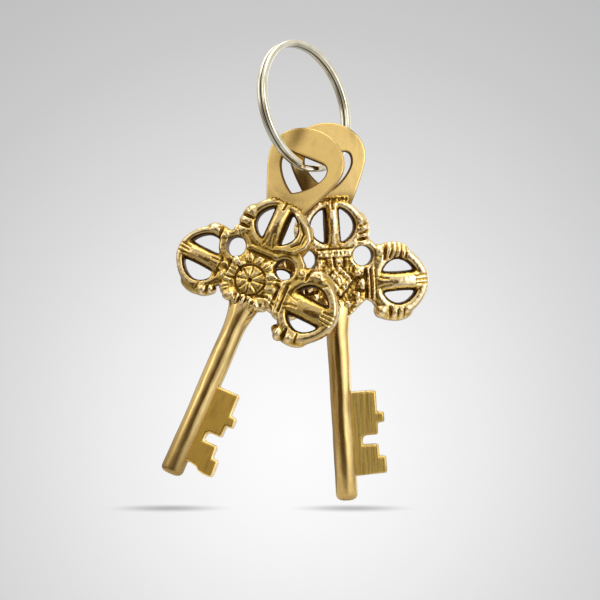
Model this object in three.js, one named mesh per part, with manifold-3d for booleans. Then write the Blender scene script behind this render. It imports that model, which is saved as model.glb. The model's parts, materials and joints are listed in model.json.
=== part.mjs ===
// Two cast brass bit keys on a split ring, in millimetres, +Z up.
// The origin is the highest point inside the ring, where a hook would carry it.
// X runs to the right and Y away from the viewer, so the keys show their fronts towards -Y.
import * as THREE from "three";
import { mergeVertices } from "three/addons/utils/BufferGeometryUtils.js";
import Module from "manifold-3d";

const wasm = await Module();
wasm.setup();

// ---------------------------------------------------------------- driving sizes

// The split ring: two turns of flat spring wire, side by side.
const ringDiameter = 30;
const wireWidth = 1.2;
const wireHeight = 1.4;
const wireCorner = 0.35;
const turnGap = 0.1;
const joggleArc = 30;
const jogglePlace = 232;
const wireEndGap = 5;
const stepsPerTurn = 60;

// How the ring hangs: its face turns away from the viewer, and its top leans to the left.
const ringTurn = 51.2;
const ringLean = 13.2;

// The key: heights are measured from the centre of its head, along the shank.
const loopTop = 36.5;
const leftKeyTip = 45.9;
const rightKeyTip = 48.5;

// The flat hanging loop.
const loopWidth = 17.2;
const loopCrown = 7.4;
const loopThickness = 1.7;
const loopTopBand = 6.7;
const loopSideBand = 3.3;
const loopHoleHeight = 8.5;
const loopHoleCorner = 2;
const loopHoleCheek = 2;
const neckWidth = 9;
const neckFlare = 1.2;

// The openwork head: a centre block that carries three pierced lobes.
const blockReach = 9;
const blockThickness = 3.6;
const blockEdge = 0.4;
const lobeHalfWidth = 8.6;
const lobeReach = 11.2;
const lobeCentre = 3;
const lobeRoot = 0.6;
const rimWidth = 3.6;
const rimTaper = 0.16;
const rimThickness = 3.8;
const strapWidth = 3.7;
const strapEndThickness = 3.2;
const strapBelly = 5;
const strapEdge = 0.5;
const strapGrooveLength = 2.6;
const leafThickness = 4;
const leafOverhang = 0.35;
const cornerHoleRadius = 2.2;
const cornerHolePlace = [6.5, 6.1];
const collarWidth = 1.5;
const collarThickness = 4;
const notchRadius = 3.1;
const notchPlace = [6.1, -6.6];
const ledgeThickness = 4.8;
const ledgeEdge = 0.3;
const sideLedgeWidth = 1;
const sideLedgeInset = 1.3;
const medallionRadius = 3.1;
const medallionThickness = 5;
const medallionEdge = 0.7;
const latticePitch = 1.9;
const grooveWidth = 0.35;
const grooveDepth = 0.4;
const foliageThickness = 4.5;
const foliageGap = 0.2;

// The leaves on a lobe's flank. Angle is the place round the rim, 0 beside the rim's middle and 90
// at its tip; long points away from the rim, wide runs along it, and tilt swings the leaf's point
// towards the tip.
const leafForms = {
  knobs: [
    { angle: -24, long: 3.2, wide: 2.8, tilt: 0 },
    { angle: 9, long: 3, wide: 4.4, tilt: 0 },
  ],
  buds: [
    { angle: -22, long: 2.9, wide: 2.6, tilt: 0 },
    { angle: 4, long: 3.3, wide: 2.7, tilt: 0 },
    { angle: 29, long: 2.4, wide: 2.2, tilt: 0 },
  ],
  fingers: [
    { angle: -26, long: 2.7, wide: 2.2, tilt: 0 },
    { angle: -8, long: 3.6, wide: 1.5, tilt: 20 },
    { angle: 8, long: 3.6, wide: 1.5, tilt: 20 },
    { angle: 25, long: 3.2, wide: 1.5, tilt: 20 },
  ],
  tongue: [
    { angle: -24, long: 2.7, wide: 2.2, tilt: 0 },
    { angle: 12, long: 3.2, wide: 5.4, tilt: 0 },
  ],
};

// The foliage round each medallion, as leaves at [bearing, distance, long, wide]: bearing is
// measured about the medallion's middle from its right-hand side, and long points outwards.
const leftFoliage = [
  [-42, 1.6, 2.2, 2.2], [-12, 1.5, 2.2, 1.7], [22, 1.5, 2.4, 1.6], [58, 1.2, 1.9, 1.5],
  [92, 1.2, 1.8, 1.5], [124, 1.3, 1.9, 1.5], [158, 1.5, 2.4, 1.6], [192, 1.6, 2.3, 1.7],
  [-146, 2.6, 2.3, 2.3], [-112, 2, 3.4, 1.2], [-90, 2.2, 3.6, 1.2], [-68, 2, 3.4, 1.2],
];
const rightFoliage = [
  [-2, 2.6, 2.4, 2.6], [28, 2.4, 1.9, 1.7], [152, 2.4, 1.9, 1.7], [182, 2.6, 2.4, 2.6],
  [-122, 2, 2, 1.8], [-90, 1.9, 3.2, 1.5], [-58, 2, 2, 1.8],
];
const bellHeight = 3.2;
const bellTopWidth = 6.4;
const bellFootWidth = 2.8;
const bellThickness = 4.4;

// The shank and its flare under the head.
const shankDiameter = 4.9;
const tipRadius = 1.4;
const flareRadius = 3.7;
const flareTop = -5.2;
const flareLength = 6.4;

// The bit: depths are below the head's centre, and reaches are from the shank's axis.
const bitThickness = 2;
const bitTop = 24.6;
const bitReach = 7.9;
const wardReach = 9.5;
const upperWard = [29, 31.5];
const wardSlot = [34.2, 36.2];
const wardSlotRoot = 4.3;
const lowerWard = 39;

// Where each key rides on the ring, and how it hangs there. Place is the angle round the ring from
// its foot; side is how far the wire passes from the middle of the loop's hole.
const keyRunningGap = 0.3;
const leftKey = { name: "key_left", place: -14, side: 1.3, lean: 23.5, pitch: -1.5, yaw: -12 };
const rightKey = { name: "key_right", place: 20, side: 0.9, lean: -3.3, pitch: 2, yaw: 8 };

// What differs from one casting to the other: the bar under the top lobe as [bottom, top], how
// each lobe is turned and scaled with the leaves on its two flanks, the foot of the bit and the
// depth of the shank's tip.
const leftForm = {
  ledge: [6.4, 7.6],
  lobes: [
    { turn: 86.5, size: 0.96, flanks: ["buds", "knobs"], grooved: true },
    { turn: 0, size: 1, flanks: ["buds", "tongue"], grooved: false },
    { turn: -94, size: 1.05, flanks: ["tongue", "buds"], grooved: true },
  ],
  foliage: leftFoliage,
  bitFoot: [[9.5, 43.1], [5.9, 43.1], [5, 42.2], [0, 42]],
  tip: leftKeyTip,
};
const rightForm = {
  ledge: [6.5, 7.9],
  lobes: [
    { turn: 90, size: 0.92, flanks: ["buds", "knobs"], grooved: true },
    { turn: 0, size: 1, flanks: ["fingers", "fingers"], grooved: false },
    { turn: -89.5, size: 1.05, flanks: ["fingers", "buds"], grooved: true },
  ],
  foliage: rightFoliage,
  bitFoot: [[9.5, 42.9], [0, 43.3]],
  tip: rightKeyTip,
};

// ---------------------------------------------------------------- worked out from them

const rad = THREE.MathUtils.degToRad;
const wireRadius = (ringDiameter - wireHeight) / 2;
const turnPitch = wireWidth + turnGap;
const holeTop = loopTop - loopTopBand;
const headTop = blockReach + lobeReach;

// ---------------------------------------------------------------- solids

/** Turns a closed geometry into a solid that can be joined and cut. */
function solid(geometry) {
  geometry.deleteAttribute("normal");
  geometry.deleteAttribute("uv");
  const merged = mergeVertices(geometry, 1e-4);
  const mesh = new wasm.Mesh({
    numProp: 3,
    vertProperties: new Float32Array(merged.attributes.position.array),
    triVerts: new Uint32Array(merged.index.array),
  });
  mesh.merge();
  return new wasm.Manifold(mesh);
}

function join(solids) {
  return solids.reduce((whole, next) => whole.add(next));
}

function toGeometry(body) {
  const mesh = body.getMesh();
  const geometry = new THREE.BufferGeometry();
  geometry.setAttribute("position", new THREE.BufferAttribute(mesh.vertProperties, 3));
  geometry.setIndex(new THREE.BufferAttribute(mesh.triVerts, 1));
  geometry.computeVertexNormals();
  return geometry;
}

/** A flat shape of the given thickness, centred on the key's middle plane, with rounded edges. */
function slab(shape, thickness, bevel = 0, curveSegments = 8) {
  const geometry = new THREE.ExtrudeGeometry(shape, {
    depth: thickness - 2 * bevel,
    bevelEnabled: bevel > 0,
    bevelThickness: bevel,
    bevelSize: bevel,
    bevelOffset: -bevel,
    bevelSegments: 1,
    curveSegments,
  });
  geometry.translate(0, 0, bevel - thickness / 2);
  return geometry;
}

function rectangle(left, bottom, right, top) {
  const shape = new THREE.Shape();
  shape.moveTo(left, bottom);
  shape.lineTo(right, bottom);
  shape.lineTo(right, top);
  shape.lineTo(left, top);
  shape.closePath();
  return shape;
}

/** A round cutter that runs right through the head. */
function drill(radius, [x, y]) {
  const geometry = new THREE.CylinderGeometry(radius, radius, 4 * blockThickness, 18);
  geometry.rotateX(Math.PI / 2);
  geometry.translate(x, y, 0);
  return solid(geometry);
}

const mirrored = ([x, y]) => [-x, y];

// ---------------------------------------------------------------- split ring

/** The wire's middle line: a flat turn, a joggle to the next plane, and a second flat turn. */
class CoilPath extends THREE.Curve {
  getPoint(share, target = new THREE.Vector3()) {
    const angle = share * (720 - joggleArc - 2 * wireEndGap) + wireEndGap;
    const joggle = THREE.MathUtils.smoothstep(angle, 360 - joggleArc, 360);
    const turned = rad(angle + jogglePlace);
    return target.set(
      wireRadius * Math.cos(turned),
      wireRadius * Math.sin(turned),
      turnPitch * (joggle - 0.5),
    );
  }
}

function splitRing() {
  const section = new THREE.Shape();
  const [w, h, r] = [wireWidth / 2, wireHeight / 2, wireCorner];
  section.moveTo(-w, -h + r);
  section.lineTo(-w, h - r);
  section.quadraticCurveTo(-w, h, -w + r, h);
  section.lineTo(w - r, h);
  section.quadraticCurveTo(w, h, w, h - r);
  section.lineTo(w, -h + r);
  section.quadraticCurveTo(w, -h, w - r, -h);
  section.lineTo(-w + r, -h);
  section.quadraticCurveTo(-w, -h, -w, -h + r);
  const geometry = new THREE.ExtrudeGeometry(section, {
    steps: 2 * stepsPerTurn,
    extrudePath: new CoilPath(),
    curveSegments: 1,
  });
  return toGeometry(solid(geometry));
}

// ---------------------------------------------------------------- key: loop, head, shank, bit

function hangingLoop() {
  const half = loopWidth / 2;
  const neck = neckWidth / 2;
  const foot = headTop - rimWidth;
  const shoulder = loopTop - loopCrown;
  const flank = (shoulder - foot) / 4;
  const shape = new THREE.Shape();
  shape.moveTo(neck, foot);
  shape.bezierCurveTo(neck + neckFlare, foot + flank, half, shoulder - flank, half, shoulder);
  shape.absellipse(0, shoulder, half, loopCrown, 0, Math.PI, false, 0);
  shape.bezierCurveTo(-half, shoulder - flank, -neck - neckFlare, foot + flank, -neck, foot);
  shape.closePath();

  const holeHalf = half - loopSideBand;
  const apex = holeTop - loopHoleHeight;
  const cheek = holeTop - loopHoleCorner;
  const hole = new THREE.Path();
  hole.moveTo(0, apex);
  const swell = apex + loopHoleHeight / 6;
  const waist = cheek - loopHoleCheek;
  hole.bezierCurveTo(holeHalf / 2, swell, holeHalf, waist, holeHalf, cheek);
  hole.quadraticCurveTo(holeHalf, holeTop, holeHalf - loopHoleCorner, holeTop);
  hole.lineTo(loopHoleCorner - holeHalf, holeTop);
  hole.quadraticCurveTo(-holeHalf, holeTop, -holeHalf, cheek);
  hole.bezierCurveTo(-holeHalf, waist, -holeHalf / 2, swell, 0, apex);
  shape.holes.push(hole);
  return solid(slab(shape, loopThickness));
}

// The middle line of a lobe's rim is part of an ellipse with these radii, drawn pointing up.
const rimAcross = lobeHalfWidth - rimWidth / 2;
const rimOut = lobeReach - lobeCentre - rimWidth / 2;

/** How far a lobe has narrowed at this angle round its rim, 90 degrees being its tip. */
function narrowing(angle) {
  return 1 - rimTaper * Math.max(0, Math.sin(angle)) ** 2;
}

class RimPath extends THREE.Curve {
  getPoint(share, target = new THREE.Vector3()) {
    const legs = Math.asin(Math.min(1, (lobeCentre + lobeRoot) / rimOut));
    const angle = THREE.MathUtils.lerp(-legs, Math.PI + legs, share);
    const height = blockReach + lobeCentre + rimOut * Math.sin(angle);
    return target.set(rimAcross * Math.cos(angle) * narrowing(angle), height, 0);
  }
}

/** An egg whose long side points along the bearing. */
function leaf(x, y, bearing, long, wide, thickness) {
  const geometry = new THREE.SphereGeometry(0.5, 7, 5);
  geometry.scale(long, wide, thickness);
  geometry.rotateZ(rad(bearing));
  geometry.translate(x, y, 0);
  return solid(geometry);
}

/** The leaves on one flank of a lobe. */
function flankLeaves(form, hand) {
  return leafForms[form].map(({ angle, long, wide, tilt }) => {
    const outward = leafOverhang * rimWidth;
    const x = (rimAcross + outward) * Math.cos(rad(angle)) * narrowing(rad(angle));
    const y = blockReach + lobeCentre + (rimOut + outward) * Math.sin(rad(angle));
    const bearing = hand > 0 ? angle + tilt : 180 - angle - tilt;
    return leaf(hand * x, y, bearing, long, wide, leafThickness);
  });
}

/** One pierced lobe: a round rim with leaves on its flanks and an arched strap down its middle. */
function lobe({ turn, size, flanks, grooved }) {
  const section = new THREE.Shape();
  section.absellipse(0, 0, rimThickness / 2, rimWidth / 2, 0, 2 * Math.PI, false, 0);
  const rim = new THREE.ExtrudeGeometry(section, {
    steps: 18,
    extrudePath: new RimPath(),
    curveSegments: 5,
  });

  const foot = blockReach - 1;
  const crest = headTop - rimWidth / 2;
  const side = new THREE.Shape();
  side.moveTo(foot, -strapEndThickness / 2);
  side.quadraticCurveTo((foot + crest) / 2, strapEndThickness / 2 - strapBelly, crest,
    -strapEndThickness / 2);
  side.lineTo(crest, strapEndThickness / 2);
  side.quadraticCurveTo((foot + crest) / 2, strapBelly - strapEndThickness / 2, foot,
    strapEndThickness / 2);
  side.closePath();
  const strap = slab(side, strapWidth, strapEdge, 6);
  strap.rotateX(Math.PI / 2);
  strap.rotateZ(Math.PI / 2);

  const leaves = [...flankLeaves(flanks[0], -1), ...flankLeaves(flanks[1], 1)];
  let body = join([solid(rim), solid(strap), ...leaves]);
  if (grooved) {
    body = body.subtract(strapGrooves(crest));
  }
  body = body.translate([0, -blockReach, 0]).scale([size, size, 1]);
  return body.translate([0, blockReach, 0]).rotate([0, 0, turn]);
}

/** Three short grooves where a strap runs out into the rim, on both faces. */
function strapGrooves(crest) {
  const cuts = [];
  for (const column of [-1, 0, 1]) {
    for (const face of [-1, 1]) {
      const geometry = new THREE.BoxGeometry(grooveWidth, strapGrooveLength, 2 * grooveDepth);
      geometry.translate(column * strapWidth / 3.5, crest, face * rimThickness / 2);
      cuts.push(solid(geometry));
    }
  }
  return join(cuts);
}

/** The raised collar round a corner hole. */
function collar([x, y]) {
  const profile = new THREE.Path();
  const middle = cornerHoleRadius + collarWidth / 2;
  profile.absellipse(middle, 0, collarWidth / 2, collarThickness / 2, 0, 2 * Math.PI, false, 0);
  const geometry = new THREE.LatheGeometry(profile.getPoints(3), 16);
  geometry.rotateX(Math.PI / 2);
  geometry.translate(x, y, 0);
  return solid(geometry);
}

/** Straight grooves across both faces of the medallion. */
function faceGrooves(angles, offsets, length) {
  const cuts = [];
  for (const angle of angles) {
    for (const offset of offsets) {
      for (const face of [-1, 1]) {
        const geometry = new THREE.BoxGeometry(length, grooveWidth, 2 * grooveDepth);
        geometry.translate(0, offset, face * medallionThickness / 2);
        geometry.rotateZ(rad(angle));
        cuts.push(solid(geometry));
      }
    }
  }
  return join(cuts);
}

/** A round rosette with eight petals. */
function rosette() {
  const half = medallionThickness / 2;
  const profile = new THREE.Path();
  profile.moveTo(0, -half);
  profile.quadraticCurveTo(medallionRadius, -half, medallionRadius, medallionEdge - half);
  profile.lineTo(medallionRadius, half - medallionEdge);
  profile.quadraticCurveTo(medallionRadius, half, 0, half);
  const disc = new THREE.LatheGeometry(profile.getPoints(3), 20);
  disc.rotateX(Math.PI / 2);
  return solid(disc).subtract(faceGrooves([0, 45, 90, 135], [0], 2.4 * medallionRadius));
}

/** A diamond-shaped shield crossed by a lattice of grooves, under a bell. */
function shield() {
  const reach = medallionRadius * Math.SQRT1_2;
  const plate = slab(rectangle(-reach, -reach, reach, reach), medallionThickness, blockEdge);
  plate.rotateZ(Math.PI / 4);
  const offsets = [-latticePitch / 2, latticePitch / 2];
  const diamond = solid(plate).subtract(faceGrooves([45, 135], offsets, 3 * reach));
  const foot = medallionRadius + foliageGap;
  const bell = new THREE.Shape();
  bell.moveTo(-bellFootWidth / 2, foot);
  bell.lineTo(bellFootWidth / 2, foot);
  bell.quadraticCurveTo(bellFootWidth / 2, foot + bellHeight / 2, bellTopWidth / 2, foot + bellHeight);
  bell.lineTo(-bellTopWidth / 2, foot + bellHeight);
  bell.quadraticCurveTo(-bellFootWidth / 2, foot + bellHeight / 2, -bellFootWidth / 2, foot);
  return diamond.add(solid(slab(bell, bellThickness, 0, 3)));
}

/** The leaves that stand round a medallion. */
function foliage(leaves) {
  return leaves.map(([bearing, distance, long, wide]) => {
    const reach = medallionRadius + distance;
    const x = reach * Math.cos(rad(bearing));
    const y = reach * Math.sin(rad(bearing));
    return leaf(x, y, bearing, long, wide, foliageThickness);
  });
}

/** The whole head, with its lobes to the top, the left and the right. */
function head(medallion, form) {
  const web = blockReach + blockEdge;
  const block = slab(rectangle(-web, flareTop - 2, web, web), blockThickness, blockEdge);
  const ledgeHalf = cornerHolePlace[0] - cornerHoleRadius + blockEdge;
  const topLedge = rectangle(-ledgeHalf, form.ledge[0], ledgeHalf, form.ledge[1]);
  const pieces = [solid(block), medallion(), solid(slab(topLedge, ledgeThickness, ledgeEdge))];
  pieces.push(...foliage(form.foliage));
  for (const shape of form.lobes) {
    pieces.push(lobe(shape));
  }
  for (const hand of [-1, 1]) {
    const near = hand * (blockReach - sideLedgeInset);
    const far = near + hand * sideLedgeWidth;
    const ledge = rectangle(Math.min(near, far), notchPlace[1] + notchRadius,
      Math.max(near, far), cornerHolePlace[1] - cornerHoleRadius);
    pieces.push(solid(slab(ledge, ledgeThickness, ledgeEdge)));
  }
  pieces.push(collar(cornerHolePlace), collar(mirrored(cornerHolePlace)));
  const cuts = join([
    drill(cornerHoleRadius, cornerHolePlace),
    drill(cornerHoleRadius, mirrored(cornerHolePlace)),
    drill(notchRadius, notchPlace),
    drill(notchRadius, mirrored(notchPlace)),
  ]);
  return join(pieces).subtract(cuts);
}

function shank(tip) {
  const radius = shankDiameter / 2;
  const profile = new THREE.Path();
  profile.moveTo(0, -tip);
  profile.lineTo(radius - tipRadius, -tip);
  profile.quadraticCurveTo(radius, -tip, radius, tipRadius - tip);
  profile.lineTo(radius, flareTop - flareLength);
  profile.quadraticCurveTo(radius, flareTop - flareLength / 2, flareRadius, flareTop);
  profile.lineTo(0, flareTop);
  return solid(new THREE.LatheGeometry(profile.getPoints(4), 18));
}

function bit(foot) {
  const shape = new THREE.Shape();
  shape.moveTo(0, -bitTop);
  shape.lineTo(bitReach, -bitTop);
  shape.lineTo(bitReach, -upperWard[0]);
  shape.lineTo(wardReach, -upperWard[0]);
  shape.lineTo(wardReach, -upperWard[1]);
  shape.lineTo(bitReach, -upperWard[1]);
  shape.lineTo(bitReach, -wardSlot[0]);
  shape.lineTo(wardSlotRoot, -wardSlot[0]);
  shape.lineTo(wardSlotRoot, -wardSlot[1]);
  shape.lineTo(bitReach, -wardSlot[1]);
  shape.lineTo(bitReach, -lowerWard);
  shape.lineTo(wardReach, -lowerWard);
  for (const [reach, depth] of foot) {
    shape.lineTo(reach, -depth);
  }
  shape.closePath();
  return solid(slab(shape, bitThickness));
}

/** One key, drawn flat, then stood up so that its front looks along -Y. */
function key(medallion, form) {
  const body = join([hangingLoop(), head(medallion, form), shank(form.tip), bit(form.bitFoot)]);
  return toGeometry(body.rotate([90, 0, 0]));
}

// ---------------------------------------------------------------- assembly

const brass = new THREE.MeshStandardMaterial({ color: 0xc9a24a, roughness: 0.35, metalness: 1 });
const nickel = new THREE.MeshStandardMaterial({ color: 0xd6d3c8, roughness: 0.2, metalness: 1 });

/** The ring's directions: q and m span its face, m towards its top, and n is its axis. */
const ringRotation = new THREE.Quaternion()
  .setFromEuler(new THREE.Euler(0, rad(-ringLean), rad(ringTurn), "YZX"))
  .multiply(new THREE.Quaternion().setFromEuler(new THREE.Euler(Math.PI / 2, 0, 0)));
const across = new THREE.Vector3(1, 0, 0).applyQuaternion(ringRotation);
const upward = new THREE.Vector3(0, 1, 0).applyQuaternion(ringRotation);

/** The ring's centre hangs below the highest point of its inner edge, which is the origin. */
const innerRadius = ringDiameter / 2 - wireHeight;
const ringCentre = new THREE.Vector3()
  .addScaledVector(across, -across.z)
  .addScaledVector(upward, -upward.z)
  .setLength(innerRadius);

/** Hangs a key so that its loop runs on the wire with the running gap, however the wire slopes. */
function hang(hung, form, medallion, material) {
  const angle = rad(hung.place);
  const crossing = ringCentre.clone()
    .addScaledVector(upward, -wireRadius * Math.cos(angle))
    .addScaledVector(across, wireRadius * Math.sin(angle));
  const tangent = new THREE.Vector3()
    .addScaledVector(upward, Math.sin(angle))
    .addScaledVector(across, Math.cos(angle));

  const mesh = new THREE.Mesh(key(medallion, form), material);
  mesh.name = hung.name;
  mesh.rotation.set(rad(hung.pitch), rad(hung.lean), rad(hung.yaw), "YXZ");

  const wire = tangent.clone().applyQuaternion(mesh.quaternion.clone().invert());
  const coilHalf = turnPitch / 2 + wireWidth / 2 - wireCorner;
  const bandHalf = wireHeight / 2 - wireCorner;
  const coilReach = Math.hypot(coilHalf, bandHalf) + wireCorner;
  const clear = (coilReach + keyRunningGap) * Math.hypot(wire.y, wire.z);
  const drop = (clear + Math.abs(wire.z) * loopThickness / 2) / wire.y;
  const seat = new THREE.Vector3(hung.side, 0, holeTop - drop).applyQuaternion(mesh.quaternion);
  mesh.position.copy(crossing.sub(seat));
  return mesh;
}

const ring = new THREE.Mesh(splitRing(), nickel);
ring.name = "split_ring";
ring.position.copy(ringCentre);
ring.quaternion.copy(ringRotation);

const keys = new THREE.Group();
keys.add(ring);
keys.add(hang(leftKey, leftForm, rosette, brass));
keys.add(hang(rightKey, rightForm, shield, brass.clone()));

export default keys;
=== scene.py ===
# %% [markdown]
# # Two cast brass keys on a split ring
#
# The object is three pieces of metal: a nickel-plated spring ring and two bit keys, each cast in
# one pour of brass. A key is drawn flat here, in millimetres, with x to the right, y up the shank
# and z towards its front, and the height 0 at the middle of its ornate head. One matrix per key
# then stands the drawing up and hangs it where the fixed frame says.

import json
import math
import random

import bmesh
import bpy
import numpy as np
from mathutils import Matrix, Vector, noise


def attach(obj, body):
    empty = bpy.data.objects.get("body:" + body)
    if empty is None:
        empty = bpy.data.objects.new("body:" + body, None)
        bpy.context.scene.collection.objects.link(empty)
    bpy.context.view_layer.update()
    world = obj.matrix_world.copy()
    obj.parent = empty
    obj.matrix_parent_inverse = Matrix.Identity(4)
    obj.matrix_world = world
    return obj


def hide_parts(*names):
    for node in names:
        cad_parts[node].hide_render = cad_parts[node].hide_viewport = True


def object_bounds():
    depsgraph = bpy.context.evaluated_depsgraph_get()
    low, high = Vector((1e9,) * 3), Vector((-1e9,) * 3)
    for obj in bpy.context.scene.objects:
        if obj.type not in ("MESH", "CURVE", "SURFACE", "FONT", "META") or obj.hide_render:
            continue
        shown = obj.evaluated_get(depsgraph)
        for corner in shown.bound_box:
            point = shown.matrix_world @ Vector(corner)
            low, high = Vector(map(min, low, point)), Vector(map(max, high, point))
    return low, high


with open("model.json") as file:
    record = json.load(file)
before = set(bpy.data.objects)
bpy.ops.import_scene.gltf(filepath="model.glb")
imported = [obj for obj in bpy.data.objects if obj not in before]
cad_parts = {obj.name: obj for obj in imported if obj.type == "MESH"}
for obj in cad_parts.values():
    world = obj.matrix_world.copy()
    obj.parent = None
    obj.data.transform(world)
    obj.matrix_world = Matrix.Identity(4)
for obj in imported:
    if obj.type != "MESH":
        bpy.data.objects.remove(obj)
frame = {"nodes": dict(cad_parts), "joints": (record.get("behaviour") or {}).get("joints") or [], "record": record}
cad_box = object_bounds()
mounts = {mount["name"]: mount for mount in frame["record"]["mounts"]}
print("frame:", sorted(frame["nodes"]), "box", [list(corner) for corner in cad_box])

# %% [markdown]
# ## The studio
#
# Polished metal is a tinted mirror: most of what the eye sees on it is the room. Bright walls on
# both sides of a key and a dark side towards the camera draw the brown and cream bands down a round
# shank. Lamps could stand all round, but a painted sky is simpler: its brightness follows the bearing
# of each ray like a ring of soft boxes, so every side of the object finds something to reflect.

# %% Camera
def new_object(name, data):
    """An object in the scene for a mesh, a camera or a lamp."""
    made = bpy.data.objects.new(name, data)
    bpy.context.scene.collection.objects.link(made)
    return made


CAMERA_DISTANCE = 0.42
VIEW_WIDTH = 0.1338
VIEW_CENTRE = Vector((0.00076, 0.0, -0.05645))
SENSOR = 36.0

camera_data = bpy.data.cameras.new("camera")
camera_data.sensor_width = SENSOR
camera_data.lens = SENSOR * CAMERA_DISTANCE / VIEW_WIDTH
camera = new_object("camera", camera_data)
camera.location = VIEW_CENTRE - Vector((0, CAMERA_DISTANCE, 0))
camera.rotation_euler = (math.radians(90), 0, 0)
bpy.context.scene.camera = camera
bpy.context.scene.view_settings.view_transform = "Standard"
print("camera:", round(camera_data.lens), "mm lens at", CAMERA_DISTANCE, "m")


# %% A short way to wire shader nodes
class Wiring:
    """Adds nodes to one node tree. A source is a plain value, a node, or (node, socket name)."""

    def __init__(self, tree):
        self.tree = tree
        tree.nodes.clear()

    def feed(self, target, source):
        if isinstance(source, bpy.types.Node):
            source = (source, 0)
        if isinstance(source, tuple) and isinstance(source[0], bpy.types.Node):
            self.tree.links.new(source[0].outputs[source[1]], target)
        else:
            target.default_value = source

    def node(self, kind, sources=(), **settings):
        made = self.tree.nodes.new(kind)
        for name, value in settings.items():
            setattr(made, name, value)
        for name, source in dict(sources).items():
            self.feed(made.inputs[name], source)
        return made

    def math(self, operation, *sources):
        return self.node("ShaderNodeMath", enumerate(sources), operation=operation)

    def vector_math(self, operation, sources):
        return self.node("ShaderNodeVectorMath", sources, operation=operation)

    def noise(self, place, scale, detail, roughness):
        sources = {"Vector": place, "Scale": scale, "Detail": detail, "Roughness": roughness}
        return self.node("ShaderNodeTexNoise", sources)

    def attribute(self, name):
        return self.node("ShaderNodeAttribute", attribute_name=name)

    def between(self, source, low, high, to_low=0.0, to_high=1.0, step="SMOOTHSTEP"):
        """Goes from to_low to to_high while the source goes from low to high."""
        sources = {"Value": source, "From Min": low, "From Max": high,
                   "To Min": to_low, "To Max": to_high}
        return self.node("ShaderNodeMapRange", sources, interpolation_type=step)

    def mix(self, factor, first, second):
        """Blends two colours."""
        sources = {"Factor": factor, "A": first, "B": second}
        return self.node("ShaderNodeMix", sources, data_type="RGBA"), "Result"

    def ramp(self, source, stops, interpolation="LINEAR"):
        made = self.node("ShaderNodeValToRGB", {"Fac": source})
        made.color_ramp.interpolation = interpolation
        for place, (position, colour) in enumerate(stops):
            if place < 2:
                stop = made.color_ramp.elements[place]
                stop.position = position
            else:
                stop = made.color_ramp.elements.new(position)
            stop.color = colour
        return made


def opaque(colour):
    """Red, green and blue with the fourth number that a colour socket needs."""
    return (*colour, 1.0)


def grey(level):
    """A neutral colour, 0 for black and 1 for white."""
    return opaque((level, level, level))


def new_finish(name):
    """A material with nothing in its node tree yet, and the tree's wiring."""
    finish = bpy.data.materials.new(name)
    finish.use_nodes = True
    return finish, Wiring(finish.node_tree)


# %% The sky as a ring of soft boxes
# Each stop is a bearing in degrees, 0 towards the camera and growing to the camera's right, and how
# bright the room is there.
SOFT_BOXES = [
    (-180, 0.45), (-150, 0.45), (-122, 0.60), (-90, 0.72), (-64, 0.50), (-44, 0.66),
    (-30, 0.13), (7, 0.11), (22, 1.5), (42, 2.8), (62, 2.1), (88, 1.1), (104, 0.6), (124, 1.9),
    (146, 1.9), (166, 0.8), (180, 0.45),
]
COOL_WHITE = (0.97, 1.01, 1.15)
TURN_BROWN = (0.38, -0.16, -0.95)
WHITE_FROM = 0.9
NEAR_SIDE = 100
FAR_BROWN = 0.45
# Bands of a ray's slope: below the window sills, towards the ceiling and down at the ground.
BELOW_WINDOWS = 0.6
WINDOW_SILLS = (-0.12, 0.03)
OVERHEAD_LIGHT = 0.92
OVERHEAD = (0.10, 0.34)
UNDERFOOT_LIGHT = 0.55
UNDERFOOT = (-0.25, -0.6)


def room_wall(at, level):
    """Bright parts of the room are a cool white; its dark parts are brown, most on the near side."""
    white = min(1.0, level / WHITE_FROM)
    brown = (1 - white) * (1.0 if abs(at) < NEAR_SIDE else FAR_BROWN)
    return opaque(level * (cool + warm * brown) for cool, warm in zip(COOL_WHITE, TURN_BROWN))


world = bpy.data.worlds.new("studio")
bpy.context.scene.world = world
world.use_nodes = True
sky = Wiring(world.node_tree)
ray = sky.node("ShaderNodeTexCoord")
parts = sky.node("ShaderNodeSeparateXYZ", {"Vector": (ray, "Generated")})
slope = (parts, "Z")
bearing = sky.math("ARCTAN2", (parts, "X"), sky.math("MULTIPLY", (parts, "Y"), -1.0))
turn = sky.math("ADD", sky.math("DIVIDE", bearing, 2 * math.pi), 0.5)
boxes = sky.ramp(turn, [((at + 180) / 360, room_wall(at, level)) for at, level in SOFT_BOXES], "EASE")
dimming = sky.between(slope, *WINDOW_SILLS, BELOW_WINDOWS, 1.0, "LINEAR")
walls = sky.vector_math("SCALE", {0: boxes, "Scale": dimming})
room = sky.mix(sky.between(slope, *OVERHEAD, step="LINEAR"), walls, grey(OVERHEAD_LIGHT))
room = sky.mix(sky.between(slope, *UNDERFOOT, step="LINEAR"), room, grey(UNDERFOOT_LIGHT))
room_sky = sky.node("ShaderNodeBackground", {"Color": room, "Strength": 1.0})

# %% The backdrop's round glow
# The camera itself sees a paper backdrop, brightest behind the bits of the keys.
GLOW_CENTRE = VIEW_CENTRE + Vector((-0.0009, 0, -0.0312))
GLOW_LEVELS = [(0.0, 0.985), (0.16, 0.93), (0.32, 0.84), (0.50, 0.72), (0.72, 0.60), (1.0, 0.50)]
GLOW_REACH = 0.30

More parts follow.
